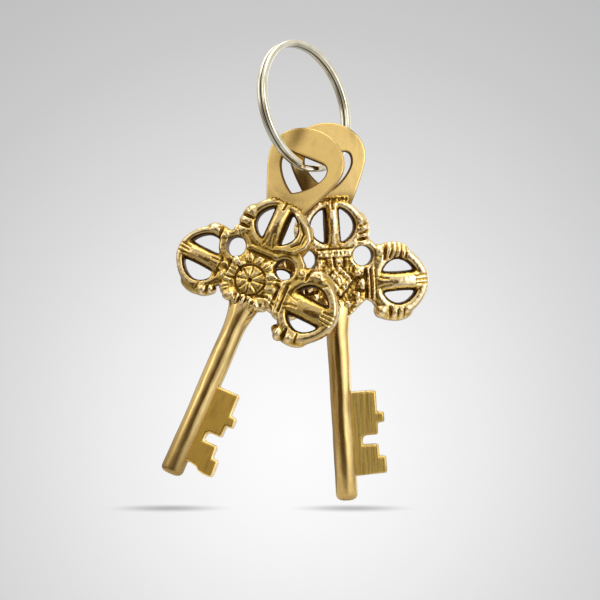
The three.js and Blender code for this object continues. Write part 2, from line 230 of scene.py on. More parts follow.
towards = (GLOW_CENTRE - camera.location).normalized()
off_centre = sky.vector_math("DISTANCE", {0: (ray, "Generated"), 1: towards})
glow = sky.between((off_centre, "Value"), 0.0, GLOW_REACH, step="LINEAR")
backdrop_shade = sky.ramp(glow, [(at, grey(level)) for at, level in GLOW_LEVELS])
backdrop_sky = sky.node("ShaderNodeBackground", {"Color": backdrop_shade, "Strength": 1.0})
path = sky.node("ShaderNodeLightPath")
seen = sky.node("ShaderNodeMixShader", {0: (path, "Is Camera Ray"), 1: room_sky, 2: backdrop_sky})
sky.node("ShaderNodeOutputWorld", {"Surface": seen})
print("sky:", len(SOFT_BOXES), "bearings")

# %% Floor
# The floor is white paper that lights the keys from below. The backdrop runs on over it for the
# camera, apart from the soft shadow under the tip of each shank.
FLOOR_GAP = 0.0013
FLOOR_HEIGHT = cad_box[0].z - FLOOR_GAP
FLOOR_REACH = (0.055, 0.022, 1.0)
FLOOR_WHITENESS = 0.72
SHADOW_WHITENESS = 0.53
SHADOW_REACH = 0.0155
SHADOW_CENTRES = [(-0.0285, 0.0, FLOOR_HEIGHT), (0.0125, 0.0, FLOOR_HEIGHT)]
SHADOW_STRETCH = (1.0, 1.6, 1.0)


def new_mesh(name, shape):
    """Turns a bmesh that is done into a mesh."""
    mesh = bpy.data.meshes.new(name)
    shape.to_mesh(mesh)
    shape.free()
    return mesh


sheet = bmesh.new()
bmesh.ops.create_grid(sheet, x_segments=1, y_segments=1, size=1.0)
bmesh.ops.scale(sheet, verts=sheet.verts, vec=FLOOR_REACH)
bmesh.ops.translate(sheet, verts=sheet.verts, vec=(0, 0, FLOOR_HEIGHT))
floor_mesh = new_mesh("floor", sheet)
floor = new_object("floor", floor_mesh)

floor_finish, paper = new_finish("floor_paper")
on_floor = paper.node("ShaderNodeTexCoord")
stretched = paper.vector_math("MULTIPLY", {0: (on_floor, "Object"), 1: SHADOW_STRETCH})
depths = []
for centre in SHADOW_CENTRES:
    away = paper.vector_math("DISTANCE", {0: stretched, 1: centre})
    depths.append(paper.between((away, "Value"), SHADOW_REACH, 0.0))
floor_path = paper.node("ShaderNodeLightPath")
matt = paper.node("ShaderNodeBsdfDiffuse", {"Color": grey(FLOOR_WHITENESS)})
veil = paper.ramp(paper.math("MAXIMUM", *depths), [(0.0, grey(1.0)), (1.0, grey(SHADOW_WHITENESS))])
clear = paper.node("ShaderNodeBsdfTransparent", {"Color": veil})
paper_shader = paper.node("ShaderNodeMixShader", {0: (floor_path, "Is Camera Ray"), 1: matt, 2: clear})
paper.node("ShaderNodeOutputMaterial", {"Surface": paper_shader})
floor_mesh.materials.append(floor_finish)
print("floor at", round(FLOOR_HEIGHT, 4))


# %% Lamps
def soft_box(name, place, aim, width, height, power):
    """A rectangular lamp that looks at a point."""
    lamp = bpy.data.lights.new(name, "AREA")
    lamp.shape = "RECTANGLE"
    lamp.size = width
    lamp.size_y = height
    lamp.energy = power
    made = new_object(name, lamp)
    made.location = place
    made.rotation_euler = (Vector(aim) - Vector(place)).to_track_quat("-Z", "Y").to_euler()


soft_box("overhead", (0.0, -0.02, 0.4), (0, 0, -0.1), 0.5, 0.5, 1.6)
soft_box("window_right", (0.55, -0.55, 0.25), (0, 0, -0.05), 0.25, 0.5, 1.1)
soft_box("window_left", (-0.6, -0.3, 0.3), (0, 0, -0.05), 0.25, 0.5, 0.5)
print("lamps:", [lamp.name for lamp in bpy.data.lights])

# %% [markdown]
# ## From the flat drawing to the hanging key
#
# The frame's record names one point on the front face of each bit. With the three angles at which
# a key hangs, that point settles the key's whole matrix. Each finished mesh keeps its drawing
# coordinates in an attribute, so grain and scratches can run along the key however it hangs.

# %% Where the keys hang
MILLIMETRE = 0.001
BIT_FACE = Vector((5.2, -29.5, 1.0))


def hang(mount, lean, pitch, yaw):
    """The matrix that takes a key's drawing in millimetres to its place in metres."""
    turn = (Matrix.Rotation(math.radians(lean), 4, "Y")
            @ Matrix.Rotation(math.radians(pitch), 4, "X")
            @ Matrix.Rotation(math.radians(yaw), 4, "Z")
            @ Matrix.Rotation(math.radians(90), 4, "X")
            @ Matrix.Scale(MILLIMETRE, 4))
    return Matrix.Translation(Vector(mounts[mount]["pos_m"]) - turn @ BIT_FACE) @ turn


KEYS = {
    "left": {"matrix": hang("left_bit_face", 23.5, -1.5, -12), "body": "left_key"},
    "right": {"matrix": hang("right_bit_face", -3.3, 2, 8), "body": "right_key"},
}
for side, key in KEYS.items():
    print(side, "key's head is at", [round(value, 4) for value in key["matrix"].translation])


# %% Turning a drawing into a finished piece
def read_vectors(items, name):
    """One row of three numbers for each item."""
    values = np.empty(len(items) * 3, np.float32)
    items.foreach_get(name, values)
    return values.reshape(-1, 3).astype(float)


def read_skin(mesh):
    """Where each point of a mesh is and which way it faces."""
    return read_vectors(mesh.vertices, "co"), read_vectors(mesh.vertices, "normal")


def write_mask(mesh, name, values):
    """Keeps one number for each point of a mesh, for its finish to read."""
    mask = mesh.attributes.new(name, "FLOAT", "POINT")
    mask.data.foreach_set("value", values.astype(np.float32))


def new_piece(mesh, name, matrix, finish, sharp):
    """Takes a mesh from its drawing to its place; edges over sharp degrees stay sharp."""
    mesh.transform(matrix)
    mesh.shade_smooth()
    mesh.set_sharp_from_angle(angle=math.radians(sharp))
    mesh.materials.append(finish)
    print(name, len(mesh.polygons), "faces")
    return new_object(name, mesh)


def hang_up(mesh, name, side, finish, recess, sharp=40):
    """Makes a mesh a piece of its key; its drawing and recess stay with it as attributes."""
    drawn = read_vectors(mesh.vertices, "co").astype(np.float32).ravel()
    mesh.attributes.new("drawn", "FLOAT_VECTOR", "POINT").data.foreach_set("vector", drawn)
    write_mask(mesh, "recess", recess)
    piece = new_piece(mesh, name, KEYS[side]["matrix"], finish, sharp)
    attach(piece, KEYS[side]["body"])
    return piece


def settle(shape, name, side, finish, recess_of):
    """Makes one piece of a key from its drawing; recess_of(mesh, side) says where it is brown or pale, from
    patina, grime and painted light.
    """
    bmesh.ops.recalc_face_normals(shape, faces=shape.faces)
    mesh = new_mesh(name, shape)
    hang_up(mesh, name, side, finish, recess_of(mesh, side))


def under(values, limit, fade):
    """One where values lie well under a limit, falling to zero at it."""
    return np.clip((limit - values) / fade, 0, 1)


# %% Outlines
def arc(centre, radius, start, end, steps, tall=None):
    """Points along a circle, or an ellipse where tall is its upright radius; angles in degrees."""
    tall = radius if tall is None else tall
    angles = [math.radians(start + (end - start) * step / steps) for step in range(steps + 1)]
    return [(centre[0] + radius * math.cos(a), centre[1] + tall * math.sin(a)) for a in angles]


def curve(first, pull_first, pull_last, last, steps):
    """Points along a cubic Bezier curve, without its first point."""
    points = []
    for step in range(1, steps + 1):
        t = step / steps
        weights = ((1 - t) ** 3, 3 * t * (1 - t) ** 2, 3 * t * t * (1 - t), t ** 3)
        corners = (first, pull_first, pull_last, last)
        points.append(tuple(sum(w * c[axis] for w, c in zip(weights, corners)) for axis in (0, 1)))
    return points


def mirrored(points):
    """The same points on the other side of the key's axis, from last to first."""
    return [(-x, y) for x, y in reversed(points)]


def edge_loop(shape, points, z=0.0):
    """A closed ring of edges through flat points."""
    verts = [shape.verts.new((x, y, z)) for x, y in points]
    return [shape.edges.new((verts[place - 1], verts[place])) for place in range(len(verts))]


def thicken(shape, faces, thickness):
    """Extrudes flat faces upwards into a plate."""
    lifted = bmesh.ops.extrude_face_region(shape, geom=faces)
    top = [item for item in lifted["geom"] if isinstance(item, bmesh.types.BMVert)]
    bmesh.ops.translate(shape, verts=top, vec=(0, 0, thickness))


def ease_rims(shape, least, offset):
    """Bevels the edges where two faces meet at more than this many degrees."""
    bmesh.ops.recalc_face_normals(shape, faces=shape.faces)
    rims = [edge for edge in shape.edges
            if len(edge.link_faces) == 2 and edge.calc_face_angle() > math.radians(least)]
    bmesh.ops.bevel(shape, geom=rims, offset=offset, segments=3, profile=0.5, affect="EDGES",
                    material=-1)


# %% [markdown]
# ## The split ring
#
# A split ring is a flat spring wire wound nearly twice round, with a joggle where it steps from the
# first turn's plane to the second's. Its section is a rectangle with its corners bevelled round.
# Spinning that section makes each flat turn, and a spin that also climbs makes the joggle.

# %% Winding the wire
RING_DIAMETER = 30.0
WIRE_WIDTH = 1.1
WIRE_HEIGHT = 1.4
WIRE_CORNER = 0.44
TURN_PITCH = 1.2
WIRE_START = 195.0
FLAT_TURN = 332.0
JOGGLE = 20.0
JOGGLE_STEPS = 10
SECTION_CORNER_STEPS = 4
DEGREES_A_STEP = 2.5


def wind_ring():
    """The whole wire, drawn about the ring's own axis."""
    ring_radius = (RING_DIAMETER - WIRE_HEIGHT) / 2
    wire = bmesh.new()
    bmesh.ops.create_grid(wire, x_segments=1, y_segments=1, size=0.5)
    bmesh.ops.scale(wire, verts=wire.verts, vec=(WIRE_HEIGHT, WIRE_WIDTH, 1))
    bmesh.ops.bevel(wire, geom=wire.verts[:], offset=WIRE_CORNER, segments=SECTION_CORNER_STEPS,
                    profile=0.5, affect="VERTICES", material=-1)
    upright = (Matrix.Rotation(math.radians(WIRE_START), 4, "Z")
               @ Matrix.Translation((ring_radius, 0, -TURN_PITCH / 2))
               @ Matrix.Rotation(math.radians(90), 4, "X"))
    bmesh.ops.transform(wire, matrix=upright, verts=wire.verts)

    def spin(section, degrees, steps, climb=0.0):
        """Winds the wire on from a section and gives back its new end."""
        turned = bmesh.ops.spin(wire, geom=section, axis=(0, 0, 1), cent=(0, 0, 0),
                                angle=math.radians(degrees), steps=steps, dvec=(0, 0, climb))
        return turned["geom_last"]

    section = spin(wire.verts[:] + wire.edges[:] + wire.faces[:], FLAT_TURN,
                   round(FLAT_TURN / DEGREES_A_STEP))
    climbed = 0.0
    for step in range(1, JOGGLE_STEPS + 1):
        t = step / JOGGLE_STEPS
        level = TURN_PITCH * t * t * (3 - 2 * t)
        section = spin(section, JOGGLE / JOGGLE_STEPS, 1, level - climbed)
        climbed = level
    spin(section, FLAT_TURN, round(FLAT_TURN / DEGREES_A_STEP))
    bmesh.ops.remove_doubles(wire, verts=wire.verts, dist=0.001)
    bmesh.ops.recalc_face_normals(wire, faces=wire.faces)
    return wire


# %% [markdown]
# ## The hanging loop
#
# The loop is a thin flat plate with a rounded triangular hole. Two rings of edges, the outline and
# the hole, are bridged into one band of faces, the band is extruded to its thickness, and only the
# sharp rim edges are bevelled, so that the plate keeps its flat face and gains a bright thin edge.

# %% Loop plate
LOOP_TOP = 36.5
LOOP_FOOT = 17.6
LOOP_HALF = 8.6
LOOP_NECK = 4.5
LOOP_FLARE = 1.2
LOOP_CROWN = 7.4
LOOP_THICKNESS = 1.7
LOOP_EDGE = 0.3
LOOP_CUTS = 7
HOLE_TOP = 29.8
HOLE_APEX = 21.3
HOLE_HALF = 5.3
HOLE_BELLY = 1.4
HOLE_CHEEK = 2.0
HOLE_CORNER = 2.0
CORNER_PULL = 0.6


def loop_outline():
    """Up the right side, over the crown, down the left side and back along the foot."""
    shoulder = LOOP_TOP - LOOP_CROWN
    flank = (shoulder - LOOP_FOOT) / 4
    right = curve((LOOP_NECK, LOOP_FOOT), (LOOP_NECK + LOOP_FLARE, LOOP_FOOT + flank),
                  (LOOP_HALF, shoulder - flank), (LOOP_HALF, shoulder), 20)
    crown = arc((0, shoulder), LOOP_HALF, 0, 180, 44, LOOP_CROWN)[1:-1]
    foot = [(LOOP_NECK * (step / 4 - 1), LOOP_FOOT) for step in range(9)]
    return right + crown + mirrored(right) + foot


def loop_hole():
    """From the hole's pointed foot up its right side and down its left."""
    cheek = HOLE_TOP - HOLE_CORNER
    right = curve((0, HOLE_APEX), (HOLE_HALF / 2, HOLE_APEX + HOLE_BELLY),
                  (HOLE_HALF, cheek - HOLE_CHEEK), (HOLE_HALF, cheek), 30)
    corner = curve((HOLE_HALF, cheek), (HOLE_HALF, HOLE_TOP - CORNER_PULL),
                   (HOLE_HALF - CORNER_PULL, HOLE_TOP), (HOLE_HALF - HOLE_CORNER, HOLE_TOP), 10)
    half = right + corner
    span = HOLE_HALF - HOLE_CORNER
    top = [(span * (1 - step / 6), HOLE_TOP) for step in range(1, 12)]
    return half + top + mirrored(half) + [(0.0, HOLE_APEX)]


def loop_plate(bend):
    """The plate; bend(x, y) says how far each point stands out of its plane."""
    shape = bmesh.new()
    rings = edge_loop(shape, loop_outline()) + edge_loop(shape, loop_hole())
    band = bmesh.ops.bridge_loops(shape, edges=rings)
    bmesh.ops.subdivide_edges(shape, edges=band["edges"], cuts=LOOP_CUTS, use_grid_fill=True)
    thicken(shape, shape.faces[:], LOOP_THICKNESS)
    bmesh.ops.translate(shape, verts=shape.verts, vec=(0, 0, -LOOP_THICKNESS / 2))
    ease_rims(shape, 50, LOOP_EDGE)
    for vert in shape.verts:
        vert.co.z += bend(vert.co.x, vert.co.y)
    return shape


# %% Where the loops are brown, much of it painted shade
# Painted shade on the wall of the hole and on the thin outer edge, grime at the foot by the head,
# and a few spots. The right loop's upper spot is a stain; its lower left one is painted shade on the
# leg behind the other loop, and the left loop's spot is a painted brown reflection. A spot is
# (x, y, half width, half height, depth).
HOLE_WALL_SHADE = 0.8
HOLE_MIDDLE = (0.0, (HOLE_TOP + HOLE_APEX) / 2 + 1.0)
HOLE_REACH = LOOP_HALF - 1.5
FACING_GAIN = 2
LOOP_EDGE_SHADE = 0.3
STAINS_AND_SHADE = {"left": [(-4.2, 34.0, 1.7, 5.0, 0.34)],
          "right": [(6.0, 36.0, 1.0, 3.5, 0.34), (-6.4, 23.0, 2.6, 4.6, 0.62)]}
FOOT_GRIME = {"left": 0.16, "right": 0.4}
FOOT_GRIME_TOP = 21.6
FOOT_GRIME_FADE = 2.6


def loop_recess(mesh, side):
    """How brown each point of a loop is: painted shade, stains and grime."""
    places, normals = read_skin(mesh)
    inward = np.array(HOLE_MIDDLE) - places[:, :2]
    reach = np.linalg.norm(inward, axis=1)
    facing = (normals[:, :2] * inward).sum(1) / reach
    # Painted shade on the wall of the hole and on the thin outer edge.
    recess = HOLE_WALL_SHADE * np.clip(facing * FACING_GAIN, 0, 1) * (reach < HOLE_REACH)
    recess += LOOP_EDGE_SHADE * np.clip(-facing * FACING_GAIN - 0.6, 0, 1)
    # Spots: a stain, painted shade and a painted reflection.
    for x, y, half_width, half_height, depth in STAINS_AND_SHADE[side]:
        recess += depth * np.exp(-((places[:, 0] - x) / half_width) ** 2
                                 - ((places[:, 1] - y) / half_height) ** 2)
    return recess + FOOT_GRIME[side] * under(places[:, 1], FOOT_GRIME_TOP, FOOT_GRIME_FADE)


# %% [markdown]
# ## Shank and bit
#
# The shank is made as if on a lathe: a profile is spun once round its axis, and it swells and
# flattens where it grows into the head. A real one is cast and then filed by hand, so its radius
# wanders a little, which makes the reflections waver. The bit is the notched flag that moves the
# lock's bolt. Its outline is filled, extruded and given a small bevel all round, and a narrow inset
# border keeps the shading of its two faces flat.

# %% Shank
SHANK_RADIUS = 2.45
SHANK_SIDES = 96
SHANK_ROWS = 64
KEY_TIPS = {"left": -45.9, "right": -48.5}
TIP_FLAT = 0.6
TIP_ROUND = 1.3
FLARE_TOP = -4.6
FLARE_RADIUS = 3.75
FLARE_FOOT = -12.5
FLARE_FLATNESS = 0.42
FLARE_DOME = 2.2
FILE_WANDER = 0.09
SLOW_WANDER = (0.3, 0.1)
QUICK_WANDER = (0.7, 0.45)
QUICK_SHARE = 0.18
WANDER_SEEDS = {"left": 3.0, "right": 9.0}


def flare_share(y):
    """How far a height lies up the flare, 0 at its foot and 1 where it meets the head."""
    return min(1.0, max(0.0, (y - FLARE_FOOT) / (FLARE_TOP - FLARE_FOOT)))


def wander(spot, across, along, seed):
    """Smooth noise round the shank and along it, each at its own rate."""
    return noise.noise(Vector((spot.x * across, spot.y * along + seed, spot.z * across)))


def shank(tip, seed):
    """The round bar from its tip to its flare, spun and then filed out of round."""
    shape = bmesh.new()
    cap = arc((SHANK_RADIUS - TIP_ROUND, tip + TIP_ROUND), TIP_ROUND, -90, 0, 8)
    body = []
    for row in range(1, SHANK_ROWS + 1):
        y = tip + TIP_ROUND + (FLARE_TOP - tip - TIP_ROUND) * row / SHANK_ROWS
        body.append((SHANK_RADIUS + (FLARE_RADIUS - SHANK_RADIUS) * flare_share(y) ** 2, y))
    dome = arc((0, FLARE_TOP), FLARE_RADIUS, 0, 90, 6, FLARE_DOME)[1:]
    profile = [(0.0, tip), (TIP_FLAT, tip)] + cap + body + dome
    verts = [shape.verts.new((x, y, 0)) for x, y in profile]
    edges = [shape.edges.new(pair) for pair in zip(verts, verts[1:])]
    bmesh.ops.spin(shape, geom=verts + edges, axis=(0, 1, 0), cent=(0, 0, 0),
                   angle=math.tau, steps=SHANK_SIDES, use_merge=True)
    bmesh.ops.remove_doubles(shape, verts=shape.verts, dist=0.001)
    for vert in shape.verts:
        radius = math.hypot(vert.co.x, vert.co.z)
        if radius < 0.01:
            continue
        uneven = (wander(vert.co, *SLOW_WANDER, seed)
                  + QUICK_SHARE * wander(vert.co, *QUICK_WANDER, seed))
        change = 1 + 2 * FILE_WANDER * uneven / radius
        vert.co.x *= change
        vert.co.z *= change * (1 - FLARE_FLATNESS * flare_share(vert.co.y) ** 2)
    return shape


# %% Where the shank is brown
TIP_GRIME = {"left": 0.3, "right": 0.16}
TIP_GRIME_FROM = -27.0
TIP_GRIME_FADE = 16.0


def shank_recess(mesh, side):
    """The end that goes into the lock is the brownest part of the shank."""
    heights = read_vectors(mesh.vertices, "co")[:, 1]
    return TIP_GRIME[side] * under(heights, TIP_GRIME_FROM, TIP_GRIME_FADE)


# %% Bit
# The corners that both bits share, from the top down; each key's own lower edge follows them, and
# its reach is a share of these.
BIT_THICKNESS = 2.0
BIT_EDGE = 0.55
FLAT_BORDER = 0.1
FLAT_FACE = 0.99
BIT_STEPS = [
    (0.5, -24.1), (7.9, -24.1), (7.9, -29.0), (9.5, -29.0), (9.5, -31.5), (7.9, -31.5),
    (7.9, -34.2), (4.9, -34.2), (4.3, -34.7), (4.3, -36.2), (7.9, -36.2), (7.9, -39.0), (9.5, -39.0),
]
BIT_FORMS = {
    "left": ([(9.6, -42.7), (8.9, -43.2), (6.0, -43.0), (5.0, -42.2), (3.4, -41.9), (0.5, -42.0)],
             0.94),
    "right": ([(9.5, -42.6), (9.2, -43.0), (0.5, -43.3)], 1.0),
}


def bit(lower_edge, reach):
    """The bit, filed to its wards."""
    shape = bmesh.new()
    corners = [(x * reach, y, -BIT_THICKNESS / 2) for x, y in BIT_STEPS + lower_edge]
    face = shape.faces.new([shape.verts.new(corner) for corner in corners])
    thicken(shape, [face], BIT_THICKNESS)
    ease_rims(shape, 30, BIT_EDGE)
    shape.normal_update()
    flats = [face for face in shape.faces if abs(face.normal.z) > FLAT_FACE]
    bmesh.ops.inset_region(shape, faces=flats, thickness=FLAT_BORDER, use_even_offset=True)
    return shape


# %% Where the bit gets a painted highlight
BIT_EDGE_HIGHLIGHT = 0.8
BIT_FACE_TILT = 0.93
BIT_TILT_FADE = 0.2


def bit_recess(mesh, side):
    """The eased edges of both bits are painted pale, as a highlight."""
    upright = np.abs(read_vectors(mesh.vertices, "normal")[:, 2])
    return -BIT_EDGE_HIGHLIGHT * under(upright, BIT_FACE_TILT, BIT_TILT_FADE)


# %% [markdown]
# ## The cast head
#
# A founder builds such a head in wax: pellets, strings and slabs are pressed together, details are
# scratched in, and the brass takes the shape of the whole. The same order works here. Simple closed
# forms are laid over each other, a voxel remesh melts them into one skin, and strokes then press
# grooves into that skin along its normals. Both faces get the same strokes.

# %% Wax forms
# What is on the front of a key is on its back too; what is on its right often has a twin on its left.
FACES = (1, -1)
HANDS = (1, -1)
BEAD_SPACING = 0.4
HOOP_STEPS = 60
SQUARENESS = 0.72


def pellet(wax, x, y, z, across, along, deep, turn=0.0, fine=2):
    """An egg of wax; turn in degrees swings its long side round in the key's plane."""
    matrix = (Matrix.Translation((x, y, z)) @ Matrix.Rotation(math.radians(turn), 4, "Z")
              @ Matrix.Diagonal((across, along, deep, 1)))
    bmesh.ops.create_icosphere(wax, subdivisions=fine, radius=1.0, matrix=matrix)


def string(wax, points, thick, z, end):
    """Strings of wax through the points on both faces, tapering from thick to end."""
    lengths = [math.dist(a, b) for a, b in zip(points, points[1:])]
    total, run = sum(lengths), 0.0
    for (start, stop), length in zip(zip(points, points[1:]), lengths):
        steps = max(1, math.ceil(length / (BEAD_SPACING * min(thick, end))))
        for step in range(steps + 1):
            share = (run + length * step / steps) / total
            radius = thick + (end - thick) * share
            x = start[0] + (stop[0] - start[0]) * step / steps
            y = start[1] + (stop[1] - start[1]) * step / steps
            for face in FACES:
                pellet(wax, x, y, face * z, radius, radius, radius, fine=1)
        run += length


def slab(wax, loops, thickness):
    """A flat slab of wax with the outline of the first loop and holes like the others."""
    edges = []
    for points in loops:
        edges += edge_loop(wax, points, -thickness / 2)
    filled = bmesh.ops.triangle_fill(wax, edges=edges, use_beauty=True)
    faces = [item for item in filled["geom"] if isinstance(item, bmesh.types.BMFace)]
    thicken(wax, faces, thickness)


def hoop(wax, centre, radius, wide, thick, tall=None):
    """A ring of wax with a section between an oval and a box; tall is its upright radius."""
    tall = radius if tall is None else tall
    section = bmesh.ops.create_circle(wax, segments=24, radius=1.0)["verts"]
    for vert in section:
        for axis in (0, 1):
            vert.co[axis] = math.copysign(abs(vert.co[axis]) ** SQUARENESS, vert.co[axis])
    upright = (Matrix.Translation((radius, 0, 0)) @ Matrix.Rotation(math.radians(90), 4, "X")
               @ Matrix.Diagonal((wide / 2, thick / 2, 1, 1)))
    bmesh.ops.transform(wax, matrix=upright, verts=section)
    outline = section + list({edge for vert in section for edge in vert.link_edges})
    before = set(wax.verts) - set(section)
    bmesh.ops.spin(wax, geom=outline, axis=(0, 0, 1), cent=(0, 0, 0), angle=math.tau,
                   steps=HOOP_STEPS, use_merge=True)
    made = [vert for vert in wax.verts if vert not in before]
    squash = Matrix.Translation((*centre, 0)) @ Matrix.Diagonal((1, tall / radius, 1, 1))
    bmesh.ops.transform(wax, matrix=squash, verts=made)


def bar(wax, left, bottom, right, top, thickness, round_off):
    """A straight bar with eased edges, centred on the key's middle plane."""
    made = bmesh.ops.create_cube(wax, size=1.0)["verts"]
    bmesh.ops.scale(wax, verts=made, vec=(right - left, top - bottom, thickness))
    bmesh.ops.translate(wax, verts=made, vec=((left + right) / 2, (bottom + top) / 2, 0))
    edges = list({edge for vert in made for edge in vert.link_edges})
    bmesh.ops.bevel(wax, geom=edges, offset=round_off, segments=2, profile=0.5, affect="EDGES",
                    material=-1)


def pour(wax, piece):
    """Adds one lump of wax to another."""
    part = new_mesh("part", piece)
    wax.from_mesh(part)
    bpy.data.meshes.remove(part)


# %% The block behind the ornament
BLOCK_HALF = 9.4
BLOCK_FOOT = (2.2, -8.0)
BLOCK_CHAMFER = 1.8
BLOCK_THICKNESS = 3.3
CORNER_HOLES = {"left": [(-6.7, 5.7), (5.5, 5.1)], "right": [(-6.3, 6.1), (6.5, 6.3)]}
CORNER_HOLE_RADIUS = 2.25
COLLAR_RADIUS = 3.1
COLLAR_WIDTH = 1.8
COLLAR_THICKNESS = 3.9
NOTCH = (6.1, -6.6)
NOTCH_RADIUS = 3.1


def block(wax, corner_holes):
    """A plate with a notch at each lower corner and a collared round hole near each upper one."""
    corner = BLOCK_HALF - BLOCK_CHAMFER
    right = ([BLOCK_FOOT] + arc(NOTCH, NOTCH_RADIUS, 180, 0, 14)
             + [(BLOCK_HALF, NOTCH[1]), (BLOCK_HALF, corner), (corner, BLOCK_HALF)])
    holes = [arc(centre, CORNER_HOLE_RADIUS, 0, 350, 35) for centre in corner_holes]
    slab(wax, [right + mirrored(right)] + holes, BLOCK_THICKNESS)
    for centre in corner_holes:
        hoop(wax, centre, COLLAR_RADIUS, COLLAR_WIDTH, COLLAR_THICKNESS)


# %% The strap across a lobe
STRAP_FOOT = 7.6
STRAP_CREST = 19.6
STRAP_END_RISE = 1.6
STRAP_ARCH = 1.35
STRAP_FLATNESS = 0.85


def flattened(share):
    """A sine or cosine with its curve pressed flatter, so that a circle turns into a soft box."""
    return math.copysign(abs(share) ** STRAP_FLATNESS, share)


def strap(half_width, spread):
    """The arched strap down the middle of a lobe: oval across, and wider towards both ends."""
    wax = bmesh.new()
    bmesh.ops.create_grid(wax, x_segments=28, y_segments=24, size=1.0)
    for vert in wax.verts:
        angle, t = math.pi * vert.co.x, (vert.co.y + 1) / 2
        half = half_width * (1 + spread * (2 * t - 0.9) ** 2)
        rise = STRAP_END_RISE + STRAP_ARCH * math.sin(math.pi * t)
        vert.co = (half * flattened(math.cos(angle)), STRAP_FOOT + (STRAP_CREST - STRAP_FOOT) * t,
                   rise * flattened(math.sin(angle)))
    bmesh.ops.remove_doubles(wax, verts=wax.verts, dist=0.001)
    bmesh.ops.holes_fill(wax, edges=wax.edges, sides=0)
    return wax


# %% Leaves for the flanks of a lobe
# Each kind has eggs as (x, y, across, along, deep, turn), strings as (points, thickness) and
# strokes, which are scratches as (points, width, depth). Everything is drawn on the right flank.
FLANKS = {
    "pads": {
        "eggs": [(7.0, 13.7, 1.7, 2.3, 2.5, -12), (7.0, 10.7, 1.5, 1.4, 2.5, 0)],
        "strokes": [([(5.4, 12.1), (9.2, 12.2)], 0.34, 0.9), ([(7.0, 11.0), (7.3, 11.1)], 0.25, 0.5)],
    },
    "heel": {
        "eggs": [(6.7, 10.2, 1.6, 1.6, 2.5, 0), (5.8, 8.5, 1.3, 1.2, 2.4, 0),
                 (6.7, 13.2, 1.2, 2.6, 2.1, 0)],
        "strokes": [([(5.6, 9.3), (7.8, 8.7)], 0.3, 0.7), ([(5.6, 11.6), (7.2, 11.7)], 0.3, 0.6)],
    },
    "lumps": {
        "eggs": [(6.7, 14.3, 1.9, 1.9, 2.5, 30), (6.9, 11.9, 1.9, 1.5, 2.5, 0),
                 (6.4, 9.9, 1.7, 1.3, 2.4, 0)],
        "strokes": [([(5.4, 12.9), (9.4, 13.0)], 0.34, 0.9), ([(5.6, 10.7), (9.2, 10.7)], 0.34, 0.8),
                    ([(7.2, 14.3), (8.5, 15.2)], 0.25, 0.4)],
    },
    "tongue": {
        "eggs": [(6.7, 12.4, 1.5, 3.3, 2.2, -12)],
        "strings": [([(3.9, 17.0), (6.9, 15.2), (8.0, 13.2), (7.7, 11.2), (6.0, 9.4), (3.6, 8.8)],
                     0.85)],
        "strokes": [([(5.0, 15.7), (6.5, 13.8), (6.4, 11.6), (5.0, 10.2)], 0.3, 0.7)],
    },
    "curls": {
        "eggs": [(6.0, 9.0, 1.6, 1.5, 2.5, 0), (6.9, 12.1, 1.8, 2.6, 2.5, -8)],
        "strokes": [(arc((6.1, 8.9), 0.6, 0, 250, 8), 0.22, 0.7),
                    ([(7.2, 12.3), (7.4, 12.4)], 0.3, 0.6),
                    ([(5.2, 10.3), (8.6, 10.2)], 0.3, 0.8), ([(5.4, 13.9), (6.4, 15.0)], 0.3, 0.4)],
    },
    "pebbles": {
        "eggs": [(7.1, 10.0, 1.8, 1.3, 2.5, 0), (6.9, 12.6, 1.6, 1.5, 2.5, 20),
                 (6.2, 15.0, 1.6, 1.9, 2.2, 25)],
        "strokes": [([(5.6, 11.3), (9.2, 11.3)], 0.38, 1.1), ([(5.6, 13.8), (7.6, 14.1)], 0.3, 0.7)],
    },
    "leaf": {
        "eggs": [(6.5, 14.5, 1.7, 1.6, 2.4, 20), (7.0, 12.6, 1.7, 1.3, 2.5, -25),
                 (6.9, 10.9, 1.7, 1.2, 2.5, -25), (6.8, 9.1, 1.7, 1.3, 2.4, 0)],
        "strokes": [([(6.0, 12.9), (9.0, 13.9)], 0.28, 0.8), ([(5.8, 11.2), (9.0, 12.2)], 0.28, 0.8),
                    ([(5.6, 9.9), (8.8, 10.4)], 0.3, 0.9)],
    },
    "ridges": {
        "eggs": [(6.6, 9.5, 1.7, 1.4, 2.4, 0), (6.5, 12.9, 1.9, 2.9, 2.5, -8)],
        "strokes": [([(4.8, 10.4), (8.6, 11.0)], 0.36, 1.2)]
                   + [([(4.9, 11.5 + 1.15 * place), (8.6, 12.5 + 1.15 * place)], 0.28, 1.1)
                      for place in range(4)],
    },
    "fans": {
        "eggs": [(6.1, 9.2, 1.8, 1.7, 2.4, 0), (6.5, 12.0, 1.7, 0.9, 2.5, -15),
                 (6.5, 13.4, 1.6, 0.85, 2.5, -5), (6.2, 14.7, 1.5, 0.85, 2.4, 10)],
        "strokes": [([(5.4, 10.9), (8.6, 10.9)], 0.34, 0.9), ([(6.0, 12.7), (8.6, 12.5)], 0.22, 0.7),
                    ([(6.0, 14.0), (8.4, 14.0)], 0.22, 0.7)],
    },
}


